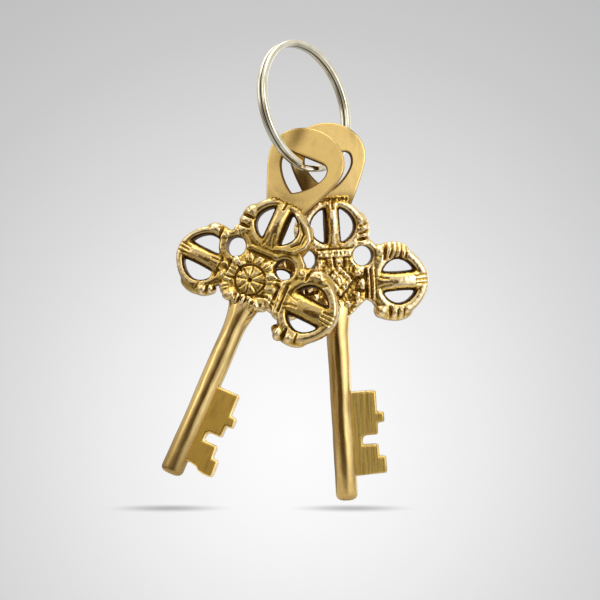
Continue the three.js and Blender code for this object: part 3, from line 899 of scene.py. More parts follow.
# %% A lobe
# Its rim, its strap and the leaves of its two flanks are modelled upright on the key's axis. The
# whole lobe is then scaled about its root, and a side lobe is swung round to its side of the head.
LOBE_ROOT = 8.5
LOBE_CENTRE = 13.4
LOBE_OUT = 0.84
RIM_OUTSIDE = 7.7
RIM_THICKNESS = 4.0
FLANK_FILL = (6.9, 12.0, 1.7, 4.2, 1.9, -6)
LEAF_STRING_RISE = 1.6
LEAF_STRING_TAPER = 0.7
LEAF_STROKE_DEPTH = 0.6
TAPER_SHARE = 0.2
TAPER_FROM = 12.5
TAPER_LENGTH = 7.5
STRAP_FOOT_STROKES = [([(1.3, 8.4), (0.75, 9.8), (0.65, 11.2)], 0.25, 0.25),
                      ([(-1.3, 8.4), (-0.75, 9.8), (-0.65, 10.9)], 0.25, 0.25)]
STRAP_END_STROKES = [([(x, 16.9), (x * 1.1, 19.6)], 0.22, 0.35) for x in (-1.2, -0.1, 0.9)]
STRAP_NICK = [([(0.15, 17.2), (0.15, 18.4)], 0.35, 0.5)]


def taper(height):
    """A lobe narrows towards its tip."""
    return 1 - TAPER_SHARE * max(0.0, (height - TAPER_FROM) / TAPER_LENGTH) ** 1.5


def swung(strokes, turn, scale, shift):
    """Lobe strokes, taken to where the lobe is."""
    angle = math.radians(turn)
    moved = []
    for points, width, depth in strokes:
        there = []
        for x, y in points:
            x, y = x * taper(y) * scale, LOBE_ROOT + shift + (y - LOBE_ROOT) * scale
            there.append((x * math.cos(angle) - y * math.sin(angle),
                          x * math.sin(angle) + y * math.cos(angle)))
        moved.append((there, width * scale, depth))
    return moved


def lobe(turn, scale, shift, flanks, strap_form, rim):
    """One pierced lobe in wax, and its strokes."""
    wax = bmesh.new()
    radius = RIM_OUTSIDE - rim / 2
    hoop(wax, (0, LOBE_CENTRE), radius, rim, RIM_THICKNESS, radius * LOBE_OUT)
    pour(wax, strap(*strap_form))
    strokes = []
    for hand, kind in zip((-1, 1), flanks):
        leaves = FLANKS[kind]
        for place, (x, y, across, along, deep, swing) in enumerate([FLANK_FILL] + leaves["eggs"]):
            fine = 3 if place == 0 else 2
            pellet(wax, hand * x, y, 0, across, along, deep, hand * swing, fine)
        for points, thick in leaves.get("strings", ()):
            string(wax, [(hand * x, y) for x, y in points], thick, LEAF_STRING_RISE,
                   thick * LEAF_STRING_TAPER)
        strokes += [([(hand * x, y) for x, y in points], width, LEAF_STROKE_DEPTH * depth)
                    for points, width, depth in leaves["strokes"]]
    for vert in wax.verts:
        vert.co.x *= taper(vert.co.y)
    ends = STRAP_NICK if turn == 0 else STRAP_END_STROKES
    matrix = (Matrix.Rotation(math.radians(turn), 4, "Z")
              @ Matrix.Translation((0, shift + LOBE_ROOT, 0))
              @ Matrix.Scale(scale, 4) @ Matrix.Translation((0, -LOBE_ROOT, 0)))
    bmesh.ops.transform(wax, matrix=matrix, verts=wax.verts)
    return wax, swung(strokes + STRAP_FOOT_STROKES + ends, turn, scale, shift)


# %% [markdown]
# ## The middle of each head
#
# Both keys come from the same plan, but no two castings carry quite the same relief. The left one
# has a rosette in a ring of leaves; the right one has a bell over a diamond shield, with buds and
# upright ribs beside it. Leaves and beads are eggs of wax set down one by one. Seeded dice nudge
# them, because an even row would look machined, and the same seed sets them down alike every time.

# %% The left head's middle
# Leaves round the rosette are (x, y, size), and the last of them fills the head's upper left corner.
# Those that close on the shank are (x, turn, length).
ROSETTE_X = -0.6
LEFT_LUMPS = [(-2.7, 4.6, 1.05), (-0.4, 4.7, 1.0), (1.8, 4.2, 1.1), (-4.6, 2.8, 1.2),
              (-5.2, 0.9, 1.25), (-5.9, -1.1, 1.35), (-5.2, -3.3, 1.3), (-3.6, -4.4, 1.15),
              (3.5, 2.0, 1.3), (4.3, -0.2, 1.3), (5.1, -2.4, 1.2), (3.5, -3.8, 1.2), (-7.4, 9.3, 1.2)]
FOOT_LEAVES = [(-0.1, 0, 1.9), (-1.8, 14, 1.7), (1.6, -14, 1.7), (-3.1, 30, 1.2), (2.9, -30, 1.3)]


def left_middle(wax):
    """A rosette in a ring of leaves, two ledges and a curl, over leaves that close on the shank."""
    bar(wax, -3.8, 6.5, 3.7, 7.5, 4.1, 0.45)
    bar(wax, -7.7, -3.0, -6.9, 3.2, 4.0, 0.35)
    dice = random.Random(4)
    for face in FACES:
        pellet(wax, ROSETTE_X, 0, face * 1.1, 5.6, 5.4, 1.25, fine=3)
        pellet(wax, ROSETTE_X, 0, face * 1.5, 3.35, 3.35, 1.15, fine=3)
        for x, y, size in LEFT_LUMPS:
            outward = math.degrees(math.atan2(y, x - ROSETTE_X)) + dice.uniform(-22, 22)
            size *= dice.uniform(0.8, 1.15)
            pellet(wax, x, y, face * 1.5, size * 1.5, size * 1.2, 0.95 * size, outward)
        for x, turn, length in FOOT_LEAVES:
            pellet(wax, x, -5.1 + 0.2 * abs(x), face * 1.9, 0.95, length, 1.3, -turn)
    for face in FACES:
        string(wax, [(6.8, 2.6), (6.5, 0.2), (6.9, -1.4), (7.0, -4.4)], 0.65, 1.6, 0.8)
        string(wax, arc((-7.6, 0.5), 1.0, 60, 300, 8), 0.45, 1.8, 0.35)


# %% The right head's middle
# Buds are (x, y, height, across, along, deep, turn) on the right side, with a twin on the left.
SHIELD_X = 0.8
BELL_X = 0.3
BELL_RINGS = 7
BEADS = 34
BEAD_SIZE = 0.36
RIGHT_BUDS = [(5.9, 0.1, 1.7, 1.1, 1.5, 1.0, 12), (5.0, 2.4, 1.7, 1.0, 0.9, 0.9, 0),
              (4.7, -2.4, 1.7, 0.9, 1.0, 0.9, 0), (2.4, -4.3, 1.8, 0.95, 0.95, 0.95, 0),
              (4.6, -4.0, 1.5, 1.2, 0.65, 0.9, 40)]


def right_middle(wax):
    """A bell with two rows of beads over a diamond shield, between buds and upright ribs."""
    bar(wax, -3.9, 6.5, 3.9, 7.7, 4.0, 0.5)
    dice = random.Random(8)
    row = BEADS // 2
    for place in range(BEADS):
        x, y = -3.6 + 7.2 * (place % row) / (row - 1), 7.5 - 0.75 * (place // row)
        for face in FACES:
            pellet(wax, x + dice.uniform(-0.15, 0.15), y + dice.uniform(-0.12, 0.12), face * 1.95,
                   BEAD_SIZE, BEAD_SIZE, BEAD_SIZE, fine=1)
    for face in FACES:
        made = bmesh.ops.create_cube(wax, size=1.0)["verts"]
        matrix = (Matrix.Translation((SHIELD_X, 1.0, face * 1.6))
                  @ Matrix.Diagonal((1.0, 1.14, 1.0, 1))
                  @ Matrix.Rotation(math.radians(45), 4, "Z") @ Matrix.Diagonal((4.4, 4.4, 1.7, 1)))
        bmesh.ops.transform(wax, matrix=matrix, verts=made)
        pellet(wax, BELL_X, 0.9, face * 0.9, 5.0, 6.2, 1.2, fine=3)
        for step in range(BELL_RINGS):
            half = 1.5 + 1.9 * (step / (BELL_RINGS - 1)) ** 1.6
            pellet(wax, BELL_X, 3.6 + 0.45 * step, face * 1.3, half, 0.55, 1.1)
        for hand in HANDS:
            for x, y, height, across, along, deep, turn in RIGHT_BUDS:
                pellet(wax, hand * x, y, face * height, across, along, deep, hand * turn)
        pellet(wax, 0, -4.7, face * 1.9, 0.8, 1.5, 0.9)
    for hand in HANDS:
        for x in (7.4, 8.5, 9.5):
            rib = [(hand * x, 3.2), (hand * (x + 0.2), 0.3), (hand * x, -3.3)]
            string(wax, rib, 0.42, 1.75, 0.38)
        string(wax, [(hand * 6.2, -3.4), (hand * 4.4, -5.0), (hand * 3.0, -6.4)], 0.55, 1.5, 0.5)


# %% The seam under the loop
# The plate of the loop stands on the head in a rough seam, and the rim of the top lobe is pressed
# down in front of it.
SEAM_PLACE = 19.05
SEAM_HALF = 4.9
SEAM_END_FADE = 0.8
SEAM_REACH = 0.85
SEAM_GRIME = 0.55
SEAM_GRAIN = 0.3
PRESS_FROM = 0.9
PRESS_FADE = 1.1
RIM_RISE = 2.2
PRESS_DEPTH = 1.0


def loop_root(wax):
    """The root of the plate and the bead of metal along the seam."""
    slab(wax, [[(-4.6, 17.4), (4.6, 17.4), (4.6, 20.6), (-4.6, 20.6)]], 1.5)
    bar(wax, -4.2, SEAM_PLACE - 0.6, 4.2, SEAM_PLACE + 0.9, 2.8, 0.35)


def across_seam(places):
    """One over the width of the seam, and zero past its ends."""
    return under(np.abs(places[:, 0]), SEAM_HALF, SEAM_END_FADE)


def near_seam(places):
    """One along the seam, and zero away from it."""
    return across_seam(places) * np.exp(-((places[:, 1] - SEAM_PLACE - 0.1) / SEAM_REACH) ** 4)


def sink_under_loop(places):
    """Presses the rim of the top lobe down to the foot of the loop, which covers it."""
    down = across_seam(places) * np.clip((places[:, 1] - SEAM_PLACE + PRESS_FROM) / PRESS_FADE, 0, 1)
    limit = np.where(down > 0, RIM_RISE - PRESS_DEPTH * down, np.inf)
    places[:, 2] = np.clip(places[:, 2], -limit, limit)


# %% Scratching lines into the wax
GOUGE_WIDTH = 1.3
GOUGE_DEPTH = 0.95


def scratch(places, normals, strokes):
    """Moves the skin in along its normals under each stroke, most in the stroke's middle."""
    for points, width, depth in strokes:
        points = np.array(points, float)
        width = GOUGE_WIDTH * width
        low = points.min(0) - width
        high = points.max(0) + width
        near = np.flatnonzero(((places[:, :2] > low) & (places[:, :2] < high)).all(1))
        if not len(near):
            continue
        spots = places[near, :2]
        closest = np.full(len(near), np.inf)
        for start, stop in zip(points, points[1:]):
            along = stop - start
            share = ((spots - start) @ along / max(along @ along, 1e-9)).clip(0, 1)
            gap = np.linalg.norm(spots - start - share[:, None] * along, axis=1)
            closest = np.minimum(closest, gap)
        amount = GOUGE_DEPTH * depth * np.clip(1 - (closest / width) ** 2, 0, None) ** 2
        places[near] -= normals[near] * (amount * np.abs(normals[near, 2]))[:, None]


# %% Strokes that repeat
CREASE = 0.12


def spoke(bearing):
    """A cut from near the rosette's middle to its rim."""
    angle = math.radians(bearing)
    ends = [(reach * math.cos(angle) + ROSETTE_X, reach * math.sin(angle)) for reach in (0.3, 2.8)]
    return ends, 0.36, 0.4


def crease(x, y):
    """A line along the middle of a leaf beside the rosette."""
    ends = [(x + CREASE * (x - ROSETTE_X) * step, y * (1 + CREASE * step)) for step in (-1, 2)]
    return ends, 0.24, 0.4


def both_sides(points, width, depth):
    """A stroke and its twin on the other side of the key's axis."""
    return [([(hand * x, y) for x, y in points], width, depth) for hand in HANDS]


# %% The strokes of each head
LEFT_STROKES = (
    [spoke(8 + 45 * place) for place in range(8)] + [crease(x, y) for x, y, size in LEFT_LUMPS[::2]]
    + [(arc((ROSETTE_X, 0), 3.4, 0, 360, 40), 0.3, 0.42), ([(-4.0, 6.0), (4.0, 6.0)], 0.3, 0.25),
       ([(6.1, 1.0), (6.0, -3.9)], 0.3, 0.5), ([(7.8, 1.6), (7.9, -3.8)], 0.3, 0.4),
       ([(-6.3, 2.4), (-6.4, -2.0)], 0.3, 0.35), ([(-8.3, 2.0), (-8.4, -2.2)], 0.3, 0.3),
       ([(0.75, -3.5), (0.7, -5.8)], 0.42, 0.75), ([(-0.8, -3.6), (-0.8, -5.9)], 0.42, 0.7),
       ([(-2.2, -3.8), (-1.9, -5.6)], 0.38, 0.6), ([(2.0, -4.3), (1.9, -5.9)], 0.38, 0.6),
       ([(2.2, -2.6), (4.6, -1.9)], 0.3, 0.5), ([(-4.2, -0.9), (-6.0, -1.2)], 0.35, 0.6),
       ([(-4.4, 1.9), (-3.2, 1.2)], 0.3, 0.45), ([(3.4, 1.4), (5.6, 2.4)], 0.3, 0.5),
       ([(-5.2, 4.4), (-3.9, 3.3)], 0.35, 0.4)])
# Strokes with a twin: between the upright ribs, beside the lowest bud and on the side buds.
RIGHT_PAIRS = [
    ([(6.8, -3.6), (6.8, 3.3)], 0.32, 0.6), ([(7.95, -3.6), (7.95, 3.3)], 0.25, 0.45),
    ([(9.0, -3.4), (9.0, 3.0)], 0.25, 0.4), ([(1.2, -4.0), (1.3, -6.2)], 0.36, 0.7),
    ([(5.0, 1.3), (6.4, 1.6)], 0.3, 0.5), ([(4.4, -1.2), (6.2, -1.7)], 0.3, 0.5),
]
RIGHT_STROKES = [
    ([(-3.9, 8.2), (3.9, 8.2)], 0.28, 0.4), ([(-3.9, 6.1), (3.9, 6.1)], 0.3, 0.35),
    ([(-0.2, 4.3), (-0.2, 6.2)], 0.34, 0.8), ([(2.2, 4.2), (2.2, 6.0)], 0.34, 0.8),
    ([(-1.4, 1.8), (1.7, -1.6)], 0.3, 0.3), ([(0.0, 3.5), (3.1, 0.2)], 0.3, 0.3),
    ([(3.0, 1.8), (-0.1, -1.6)], 0.3, 0.3), ([(1.6, 3.5), (-1.5, 0.2)], 0.3, 0.3),
    ([(0.9, 4.8), (4.2, 1.0), (0.9, -2.8)], 0.36, 0.35),
    ([(0.7, 4.8), (-2.6, 1.0), (0.7, -2.8)], 0.36, 0.35),
]
RIGHT_STROKES += [(arc((x, -4.3), 0.6, 30, 320, 8), 0.22, 0.4) for x in (2.4, -2.4)]
RIGHT_STROKES += [twin for pair in RIGHT_PAIRS for twin in both_sides(*pair)]
print("strokes:", len(LEFT_STROKES), "on the left head,", len(RIGHT_STROKES), "on the right")


# %% How deep each spot lies
# The skin is smoothed more and more, as (rounds, weight), and each time the points that lie under
# the smoothed skin count as hollow and those above it as crests.
RECESS_SCALES = ((3, 2.4), (12, 1.1), (36, 0.6), (90, 0.4))


def average_of_neighbours(values, edges, count):
    """The mean, for each point, of the points that an edge joins it to."""
    total = np.zeros_like(values)
    for axis in range(values.shape[1]):
        total[:, axis] = (np.bincount(edges[:, 0], values[edges[:, 1], axis], count)
                          + np.bincount(edges[:, 1], values[edges[:, 0], axis], count))
    links = np.bincount(edges.ravel(), minlength=count)
    return total / links[:, None]


def measure_recess(mesh):
    """How far each point lies under the smoothed skin: above 0 in a hollow, below on a crest."""
    count = len(mesh.vertices)
    places, normals = read_skin(mesh)
    edges = np.empty(len(mesh.edges) * 2, np.int32)
    mesh.edges.foreach_get("vertices", edges)
    edges = edges.reshape(-1, 2)
    recess = np.zeros(count)
    smoothed = places.copy()
    for rounds, weight in RECESS_SCALES:
        for _ in range(rounds):
            smoothed = average_of_neighbours(smoothed, edges, count)
        recess += weight * ((smoothed - places) * normals).sum(1)
    return recess


# %% Patina and painted shade on the ground and walls
GROUND_TOP = 2.0
GROUND_FADE = 0.3
GROUND_PATINA_AND_SHADE = 0.24
GROUND_TILT = 0.4
GROUND_TILT_FADE = 0.3
CORNER_WALL = 0.5
LOBE_WALL = 0.7
WALL_FADE = 0.4
WALL_TILT = 0.9
WALL_TILT_FADE = 0.35
# Painted light: the right head is made lighter as a whole, less brown in its hollows and paler on its crests, to
# make up for how it is lit.
HEAD_LIFT = {"left": 0.0, "right": 0.2}


def darken_walls(mesh, recess, lobes, corner_holes):
    """The low ground and the walls of the piercings never see a cloth and get little light, so they count as
    hollow: patina and painted shade.
    """
    places, normals = read_skin(mesh)
    flatness = np.abs(normals[:, 2])
    holes = [(*centre, 1.0, 1.0, CORNER_HOLE_RADIUS + CORNER_WALL) for centre in corner_holes]
    for turn, scale, shift, *_, rim in lobes:
        angle = math.radians(turn)
        out = LOBE_ROOT + shift + (LOBE_CENTRE - LOBE_ROOT) * scale
        sideways = abs(math.sin(angle)) > 0.5
        stretch = (1 / LOBE_OUT, 1.0) if sideways else (1.0, 1 / LOBE_OUT)
        holes.append((-out * math.sin(angle), out * math.cos(angle), *stretch,
                      (RIM_OUTSIDE - rim + LOBE_WALL) * scale))
    recess = recess + SEAM_GRIME * near_seam(places)
    low = under(np.abs(places[:, 2]), GROUND_TOP, GROUND_FADE)
    # Painted shade, with patina, on the low ground between the forms.
    recess += GROUND_PATINA_AND_SHADE * low * np.clip((flatness - GROUND_TILT) / GROUND_TILT_FADE, 0, 1)
    # Painted shade, with patina, on the walls of the corner holes and the lobes' piercings.
    for x, y, stretch_x, stretch_y, radius in holes:
        inward = np.stack(((x - places[:, 0]) * stretch_x, (y - places[:, 1]) * stretch_y), 1)
        reach = np.linalg.norm(inward, axis=1)
        facing = (normals[:, :2] * inward).sum(1) / np.maximum(reach, 1e-6)
        recess += (under(reach, radius, WALL_FADE) * under(flatness, WALL_TILT, WALL_TILT_FADE)
                   * np.clip(np.abs(facing) * FACING_GAIN + 0.3, 0, 1))
    return recess


# %% Melting and smoothing
SKIN = 0.2


def melt(wax):
    """One closed skin round everything in the wax."""
    lump = new_object("wax", new_mesh("wax", wax))
    remesh = lump.modifiers.new("melt", "REMESH")
    remesh.mode = "VOXEL"
    remesh.voxel_size = SKIN
    view = bpy.context.evaluated_depsgraph_get()
    skin = bpy.data.meshes.new_from_object(lump.evaluated_get(view))
    bpy.data.objects.remove(lump)
    return skin


def smooth(mesh, rounds):
    """Evens out the steps that a remesh leaves."""
    skin = bmesh.new()
    skin.from_mesh(mesh)
    for _ in range(rounds):
        bmesh.ops.smooth_vert(skin, verts=skin.verts, factor=0.5, use_axis_x=True,
                              use_axis_y=True, use_axis_z=True)
    skin.to_mesh(mesh)
    skin.free()


def ream(places, centre, radius):
    """Pushes whatever reaches into a round piercing back to its wall."""
    away = places[:, :2] - centre
    reach = np.linalg.norm(away, axis=1)
    inside = reach < radius
    places[inside, :2] = centre + away[inside] * (radius / reach[inside])[:, None]


# %% Casting a head
# The grain of each casting is rough round one spot and calm away from it, as (x, y, reach, calm,
# rough). It is made of two noises, a coarse one and a share of a fine one.
CASTING_GRAIN = {"left": (0, -1, 7.0, 0.04, 0.1), "right": (0.5, 1, 7.5, 0.05, 0.24)}
COARSE_GRAIN = 1.9
FINE_GRAIN = 4.1
FINE_SHARE = 0.6


def grain_height(places, x, y, reach, calm, rough):
    """How far the grain of the casting stands up at each place."""
    middle = np.exp(-(np.hypot(places[:, 0] - x, places[:, 1] - y) / reach) ** 4)
    return calm + (rough - calm) * middle


def cast_head(side, lobes, middle, strokes):
    """The finished skin of one head, and how deep each of its points lies."""
    wax = bmesh.new()
    block(wax, CORNER_HOLES[side])
    middle(wax)
    loop_root(wax)
    all_strokes = list(strokes)
    for shape in lobes:
        piece, lobe_strokes = lobe(*shape)
        pour(wax, piece)
        all_strokes += lobe_strokes
    bmesh.ops.recalc_face_normals(wax, faces=wax.faces)
    mesh = melt(wax)
    smooth(mesh, 4)
    places, normals = read_skin(mesh)
    sink_under_loop(places)
    scratch(places, normals, all_strokes)
    bumps = np.array([noise.noise(Vector(spot) * COARSE_GRAIN)
                      + FINE_SHARE * noise.noise(Vector(spot) * FINE_GRAIN) for spot in places])
    height = grain_height(places, *CASTING_GRAIN[side]) + SEAM_GRAIN * near_seam(places)
    places += normals * (bumps * height)[:, None]
    for centre in CORNER_HOLES[side]:
        ream(places, centre, CORNER_HOLE_RADIUS)
    mesh.vertices.foreach_set("co", places.astype(np.float32).ravel())
    mesh.update()
    smooth(mesh, 1)
    recess = darken_walls(mesh, measure_recess(mesh) - HEAD_LIFT[side], lobes, CORNER_HOLES[side])
    print(side, "head:", len(mesh.vertices), "points, recess", recess.min(), recess.max())
    return mesh, recess


# %% [markdown]
# ## Brass and nickel
#
# Cast brass is bright where hands rub it and brown where they can't reach. The recess attribute
# says which is which: hollows get the brown, rough patina and painted shade, and crests stay
# polished and get a painted highlight. Fine scratches follow the way each part was worked,
# lengthwise on the shank and upright on the filed bits. The masks are made once, in shared node
# groups, and each finish mixes its own colours with them.

# %% Shared masks
# Depths at which a hollow turns brown with patina and painted shade and a crest turns pale with
# polish and a painted highlight, and the noise that counts as cloud.
HOLLOW = (-0.08, 0.58)
CREST = (-0.08, -0.75)
CLOUD = (0.35, 0.68)


def new_group(name, inputs, outputs):
    """The wiring of an empty node group with the given sockets, each a name and a kind."""
    tree = bpy.data.node_groups.new(name, "ShaderNodeTree")
    for way, sockets in (("INPUT", inputs), ("OUTPUT", outputs)):
        for label, kind in sockets:
            tree.interface.new_socket(label, in_out=way, socket_type="NodeSocket" + kind)
    wiring = Wiring(tree)
    wiring.given = wiring.node("NodeGroupInput")
    return wiring


def wear_and_shade_group():
    """Hollow, crest and cloud masks of a cast surface; specks make their edges uneven. Hollows get patina and
    painted shade, crests polish and a painted highlight.
    """
    wiring = new_group("wear_and_shade", [("Specks", "Float")],
                       [("Hollow", "Float"), ("Crest", "Float"), ("Cloud", "Float")])
    drawn = (wiring.attribute("drawn"), "Vector")
    specks = wiring.math("SUBTRACT", wiring.noise(drawn, 2.6, 3.0, 0.65), 0.5)
    uneven = wiring.math("MULTIPLY", specks, (wiring.given, "Specks"))
    depth = wiring.math("ADD", (wiring.attribute("recess"), "Fac"), uneven)
    clouds = wiring.noise(drawn, 0.55, 4.0, 0.6)
    wiring.node("NodeGroupOutput", {"Hollow": wiring.between(depth, *HOLLOW),
                                    "Crest": wiring.between(depth, *CREST),
                                    "Cloud": wiring.between(clouds, *CLOUD)})
    return wiring.tree


def scratch_group():
    """Fine lines and slow ripples along one direction, set by how the drawing is stretched."""
    wiring = new_group("scratches", [("Stretch", "Vector")],
                       [("Lines", "Float"), ("Ripple", "Float")])
    drawn = (wiring.attribute("drawn"), "Vector")
    stretched = wiring.vector_math("MULTIPLY", {0: drawn, 1: (wiring.given, "Stretch")})
    wiring.node("NodeGroupOutput", {"Lines": wiring.noise(stretched, 5.0, 5.0, 0.75),
                                    "Ripple": wiring.noise(stretched, 0.9, 2.0, 0.5)})
    return wiring.tree


WEAR_AND_SHADE = wear_and_shade_group()
SCRATCHES = scratch_group()
print("shared masks:", [group.name for group in bpy.data.node_groups])


# %% Brass
# The pale gold colours the crests, as polish and a painted highlight; the darkest brown colours the hollows, as
# patina and painted shade.
PALE_GOLD = (0.89, 0.70, 0.39)
BRASS = (0.59, 0.38, 0.072)
RED_BRASS = (0.50, 0.31, 0.075)
PATINA_AND_SHADE = (0.09, 0.038, 0.004)
CLOUD_SHARE = 0.5
CREST_POLISH_AND_HIGHLIGHT = 0.9
HOLLOW_PATINA_AND_SHADE = 0.93
STREAKS = (0.5, 0.72)
HOLLOW_DULLNESS = 0.3
LINE_DULLNESS = 0.12
GLOSS = 0.12
GLOSS_GONE = 0.6


def brass_finish(name, roughness, tone, stretch=(1.0, 1.0, 1.0), lines=0.0, ripple=0.0, pits=0.0,
                 polish=0.0, stain=0.0, specks=0.12):
    """Cast brass: stretch says which way it was worked; lines, ripple and pits how deeply, in mm."""
    brass = [value * tone for value in BRASS]
    cloudy = [b + (r * tone - b) * CLOUD_SHARE for b, r in zip(brass, RED_BRASS)]
    pale = [value * min(tone, 1.0) for value in PALE_GOLD]
    finish, wiring = new_finish(name)
    wear_and_shade = wiring.node("ShaderNodeGroup", {"Specks": specks}, node_tree=WEAR_AND_SHADE)
    worked = wiring.node("ShaderNodeGroup", {"Stretch": stretch}, node_tree=SCRATCHES)

    body = wiring.mix((wear_and_shade, "Cloud"), opaque(brass), opaque(cloudy))
    # The crest mask paints the crests pale: polish, and a painted highlight.
    polish_and_highlight = wiring.math("MAXIMUM", wiring.math("MULTIPLY", (wear_and_shade, "Crest"), CREST_POLISH_AND_HIGHLIGHT), polish)
    lit = wiring.mix(polish_and_highlight, body, opaque(pale))
    streaks = wiring.math("MULTIPLY", wiring.between((worked, "Ripple"), *STREAKS), stain)
    # The hollow mask paints the hollows brown: patina, and painted shade.
    brown = wiring.math("MAXIMUM", wiring.math("MULTIPLY", (wear_and_shade, "Hollow"), HOLLOW_PATINA_AND_SHADE), streaks)
    darkened = wiring.mix(brown, lit, opaque(PATINA_AND_SHADE))

    dulled = wiring.math("ADD", wiring.math("MULTIPLY", (wear_and_shade, "Hollow"), HOLLOW_DULLNESS), roughness)
    off_line = wiring.math("SUBTRACT", (worked, "Lines"), 0.5)
    varied = wiring.math("ADD", dulled, wiring.math("MULTIPLY", off_line, LINE_DULLNESS))
    gloss = wiring.between(brown, 0.0, GLOSS_GONE, GLOSS, 0.0)

    grains = wiring.noise((wiring.attribute("drawn"), "Vector"), 3.2, 5.0, 0.7)
    relief = wiring.math("ADD", wiring.math("MULTIPLY", (worked, "Lines"), lines),
                         wiring.math("MULTIPLY", (worked, "Ripple"), ripple))
    relief = wiring.math("ADD", relief, wiring.math("MULTIPLY", grains, pits))
    bumps = wiring.node("ShaderNodeBump", {"Height": relief, "Strength": 1.0, "Distance": MILLIMETRE})
    shader = wiring.node("ShaderNodeBsdfPrincipled",
                         {"Base Color": darkened, "Roughness": varied, "Coat Weight": gloss,
                          "Normal": bumps, "Metallic": 1.0, "Coat IOR": 1.9, "Coat Roughness": 0.06})
    wiring.node("ShaderNodeOutputMaterial", {"Surface": shader})
    return finish


# %% The brass of each piece
# Each piece's tone is set on its own, so the two sides are lighter and darker copies of one brass: painted light.
head_brass = {
    "left": brass_finish("left_head_brass", roughness=0.17, tone=0.9, lines=0.001, pits=0.004,
                         specks=0.4),
    "right": brass_finish("right_head_brass", roughness=0.18, tone=1.08, lines=0.001, pits=0.008,
                          specks=0.4),
}
shank_brass = {
    "left": brass_finish("left_shank_brass", roughness=0.14, tone=1.02, stretch=(0.9, 0.13, 0.9),
                         lines=0.009, ripple=0.05, pits=0.003, polish=0.3, stain=0.45),
    "right": brass_finish("right_shank_brass", roughness=0.15, tone=1.22, stretch=(0.9, 0.10, 0.9),
                          lines=0.012, ripple=0.05, pits=0.004, polish=0.3, stain=0.5),
}
bit_brass = {
    "left": brass_finish("left_bit_brass", roughness=0.31, tone=1.3, stretch=(0.9, 0.12, 0.7),
                         lines=0.006, ripple=0.03, pits=0.001, stain=0.35),
    "right": brass_finish("right_bit_brass", roughness=0.25, tone=0.74, stretch=(1.8, 0.06, 0.7),
                          lines=0.014, ripple=0.04, pits=0.002, stain=0.5),
}
loop_brass = brass_finish("loop_brass", roughness=0.22, tone=1.42, stretch=(0.5, 0.16, 0.5),
                          lines=0.003, ripple=0.02, pits=0.0008, polish=0.3, stain=0.16)

# %% Nickel
# The colour of the shade painted into the groove between the turns.
GROOVE_SHADE = (0.06, 0.045, 0.02)
NICKEL_TINTS = [(0.35, (0.80, 0.755, 0.60)), (0.7, (0.64, 0.585, 0.42))]


def nickel_finish():
    """Plate in two warm tints, with faint scuffs, and painted shade in the groove."""
    finish, wiring = new_finish("nickel_wire")
    on_wire = wiring.node("ShaderNodeTexCoord")
    scaled = wiring.vector_math("SCALE", {0: (on_wire, "Object"), "Scale": 1 / MILLIMETRE})
    clouds = wiring.noise(scaled, 0.35, 4.0, 0.6)
    tint = wiring.ramp(clouds, [(at, opaque(colour)) for at, colour in NICKEL_TINTS])
    shaded = wiring.mix((wiring.attribute("groove"), "Fac"), tint, opaque(GROOVE_SHADE))
    scuffs = wiring.noise(scaled, 1.4, 3.0, 0.6)
    shader = wiring.node("ShaderNodeBsdfPrincipled",
                         {"Base Color": shaded, "Metallic": 1.0,
                          "Roughness": wiring.between(scuffs, 0.35, 0.75, 0.10, 0.2)})
    wiring.node("ShaderNodeOutputMaterial", {"Surface": shader})
    return finish


nickel = nickel_finish()
print("finishes:", [item.name for item in bpy.data.materials])

# %% [markdown]
# ## Putting the pieces together
#
# Each key rides round the wire on its own hinge, and both hinges turn about the ring's axis. So the
# frame's first joint tells where the ring's centre is and which way its axis points, and the wire
# is wound about that. The keys' pieces follow, each hung by its key's matrix. Once a head is cast,
# the frame's own key is hidden, and the loop, shank and bit run on into the head.

# %% Wind the ring and hang it where the joints turn
GROOVE_REACH = 0.27
GROOVE_FADE = 0.16
GROOVE_END = 4.0


def mark_groove(mesh):
    """Paints shade into the groove between the two turns, but not where the wire crosses over."""
    places = read_vectors(mesh.vertices, "co")
    bearings = (np.degrees(np.arctan2(places[:, 1], places[:, 0])) - WIRE_START - FLAT_TURN) % 360
    flat = (bearings > JOGGLE + GROOVE_END) & (bearings < 360 - GROOVE_END)
    write_mask(mesh, "groove", under(np.abs(places[:, 2]), GROOVE_REACH, GROOVE_FADE) * flat)


hinge = frame["joints"][0]
ring_centre = Vector(hinge["pos_m"])
ring_axis = Vector(hinge["axis"]).normalized()
ring_top = -ring_centre.normalized()
ring_side = ring_axis.cross(ring_top)
ring_turn = Matrix((ring_top, ring_side, ring_axis)).transposed().to_4x4()
ring_matrix = Matrix.Translation(ring_centre) @ ring_turn @ Matrix.Scale(MILLIMETRE, 4)
ring_mesh = new_mesh("wound_ring", wind_ring())
mark_groove(ring_mesh)
ring_piece = new_piece(ring_mesh, "wound_ring", ring_matrix, nickel, sharp=50)
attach(ring_piece, "ring")
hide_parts("split_ring")

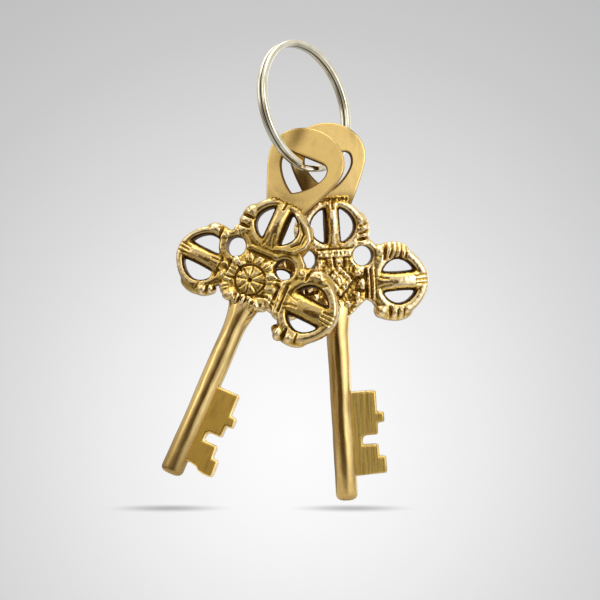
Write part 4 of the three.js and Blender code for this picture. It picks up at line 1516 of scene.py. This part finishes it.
# %% Loops, shanks and bits
LOOP_LEAN = 0.07
LEAN_FROM = 27
DENT = 0.3
DENT_X = -7.2
DENT_WIDTH = 2.4
DENT_FROM = 24
DENT_RUN = 6
BOW = 0.004
BOW_FROM = 29


def left_bend(x, y):
    """The left plate leans back as a whole, and its upper left side was hammered a little forward."""
    up = min(1.0, max(0.0, (y - DENT_FROM) / DENT_RUN))
    dent = DENT * math.exp(-((x - DENT_X) / DENT_WIDTH) ** 2) * up
    return dent - LOOP_LEAN * (y - LEAN_FROM)


def right_bend(x, y):
    """The right plate leans back and is bowed along its height."""
    return -LOOP_LEAN * (y - LEAN_FROM) - BOW * (y - BOW_FROM) ** 2


for side, bend in (("left", left_bend), ("right", right_bend)):
    settle(loop_plate(bend), side + "_loop", side, loop_brass, loop_recess)
    settle(shank(KEY_TIPS[side], WANDER_SEEDS[side]), side + "_shank", side, shank_brass[side],
           shank_recess)
    settle(bit(*BIT_FORMS[side]), side + "_bit", side, bit_brass[side], bit_recess)

# %% Cast the heads
# Each lobe as its turn, its scale, how far it is pushed out, the leaves on its two flanks, the
# half width and spread of its strap, and the width of its rim.
LEFT_LOBES = [(0, 1.0, 0.0, ("lumps", "tongue"), (2.15, 0.2), 2.9),
              (86.5, 0.97, -0.6, ("heel", "pads"), (2.15, 0.3), 2.3),
              (-94.0, 1.05, 0.2, ("curls", "pebbles"), (2.6, 0.2), 2.8)]
RIGHT_LOBES = [(0, 1.0, 0.0, ("leaf", "leaf"), (1.85, 0.15), 2.8),
               (90, 0.86, -0.3, ("pads", "heel"), (2.0, 0.3), 2.9),
               (-89.5, 1.05, 0.9, ("ridges", "fans"), (2.15, 0.4), 3.0)]
for side, lobes, middle, strokes in (("left", LEFT_LOBES, left_middle, LEFT_STROKES),
                                     ("right", RIGHT_LOBES, right_middle, RIGHT_STROKES)):
    head_mesh, head_recess = cast_head(side, lobes, middle, strokes)
    head_piece = hang_up(head_mesh, side + "_head", side, head_brass[side], head_recess, sharp=180)
    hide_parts("key_" + side)
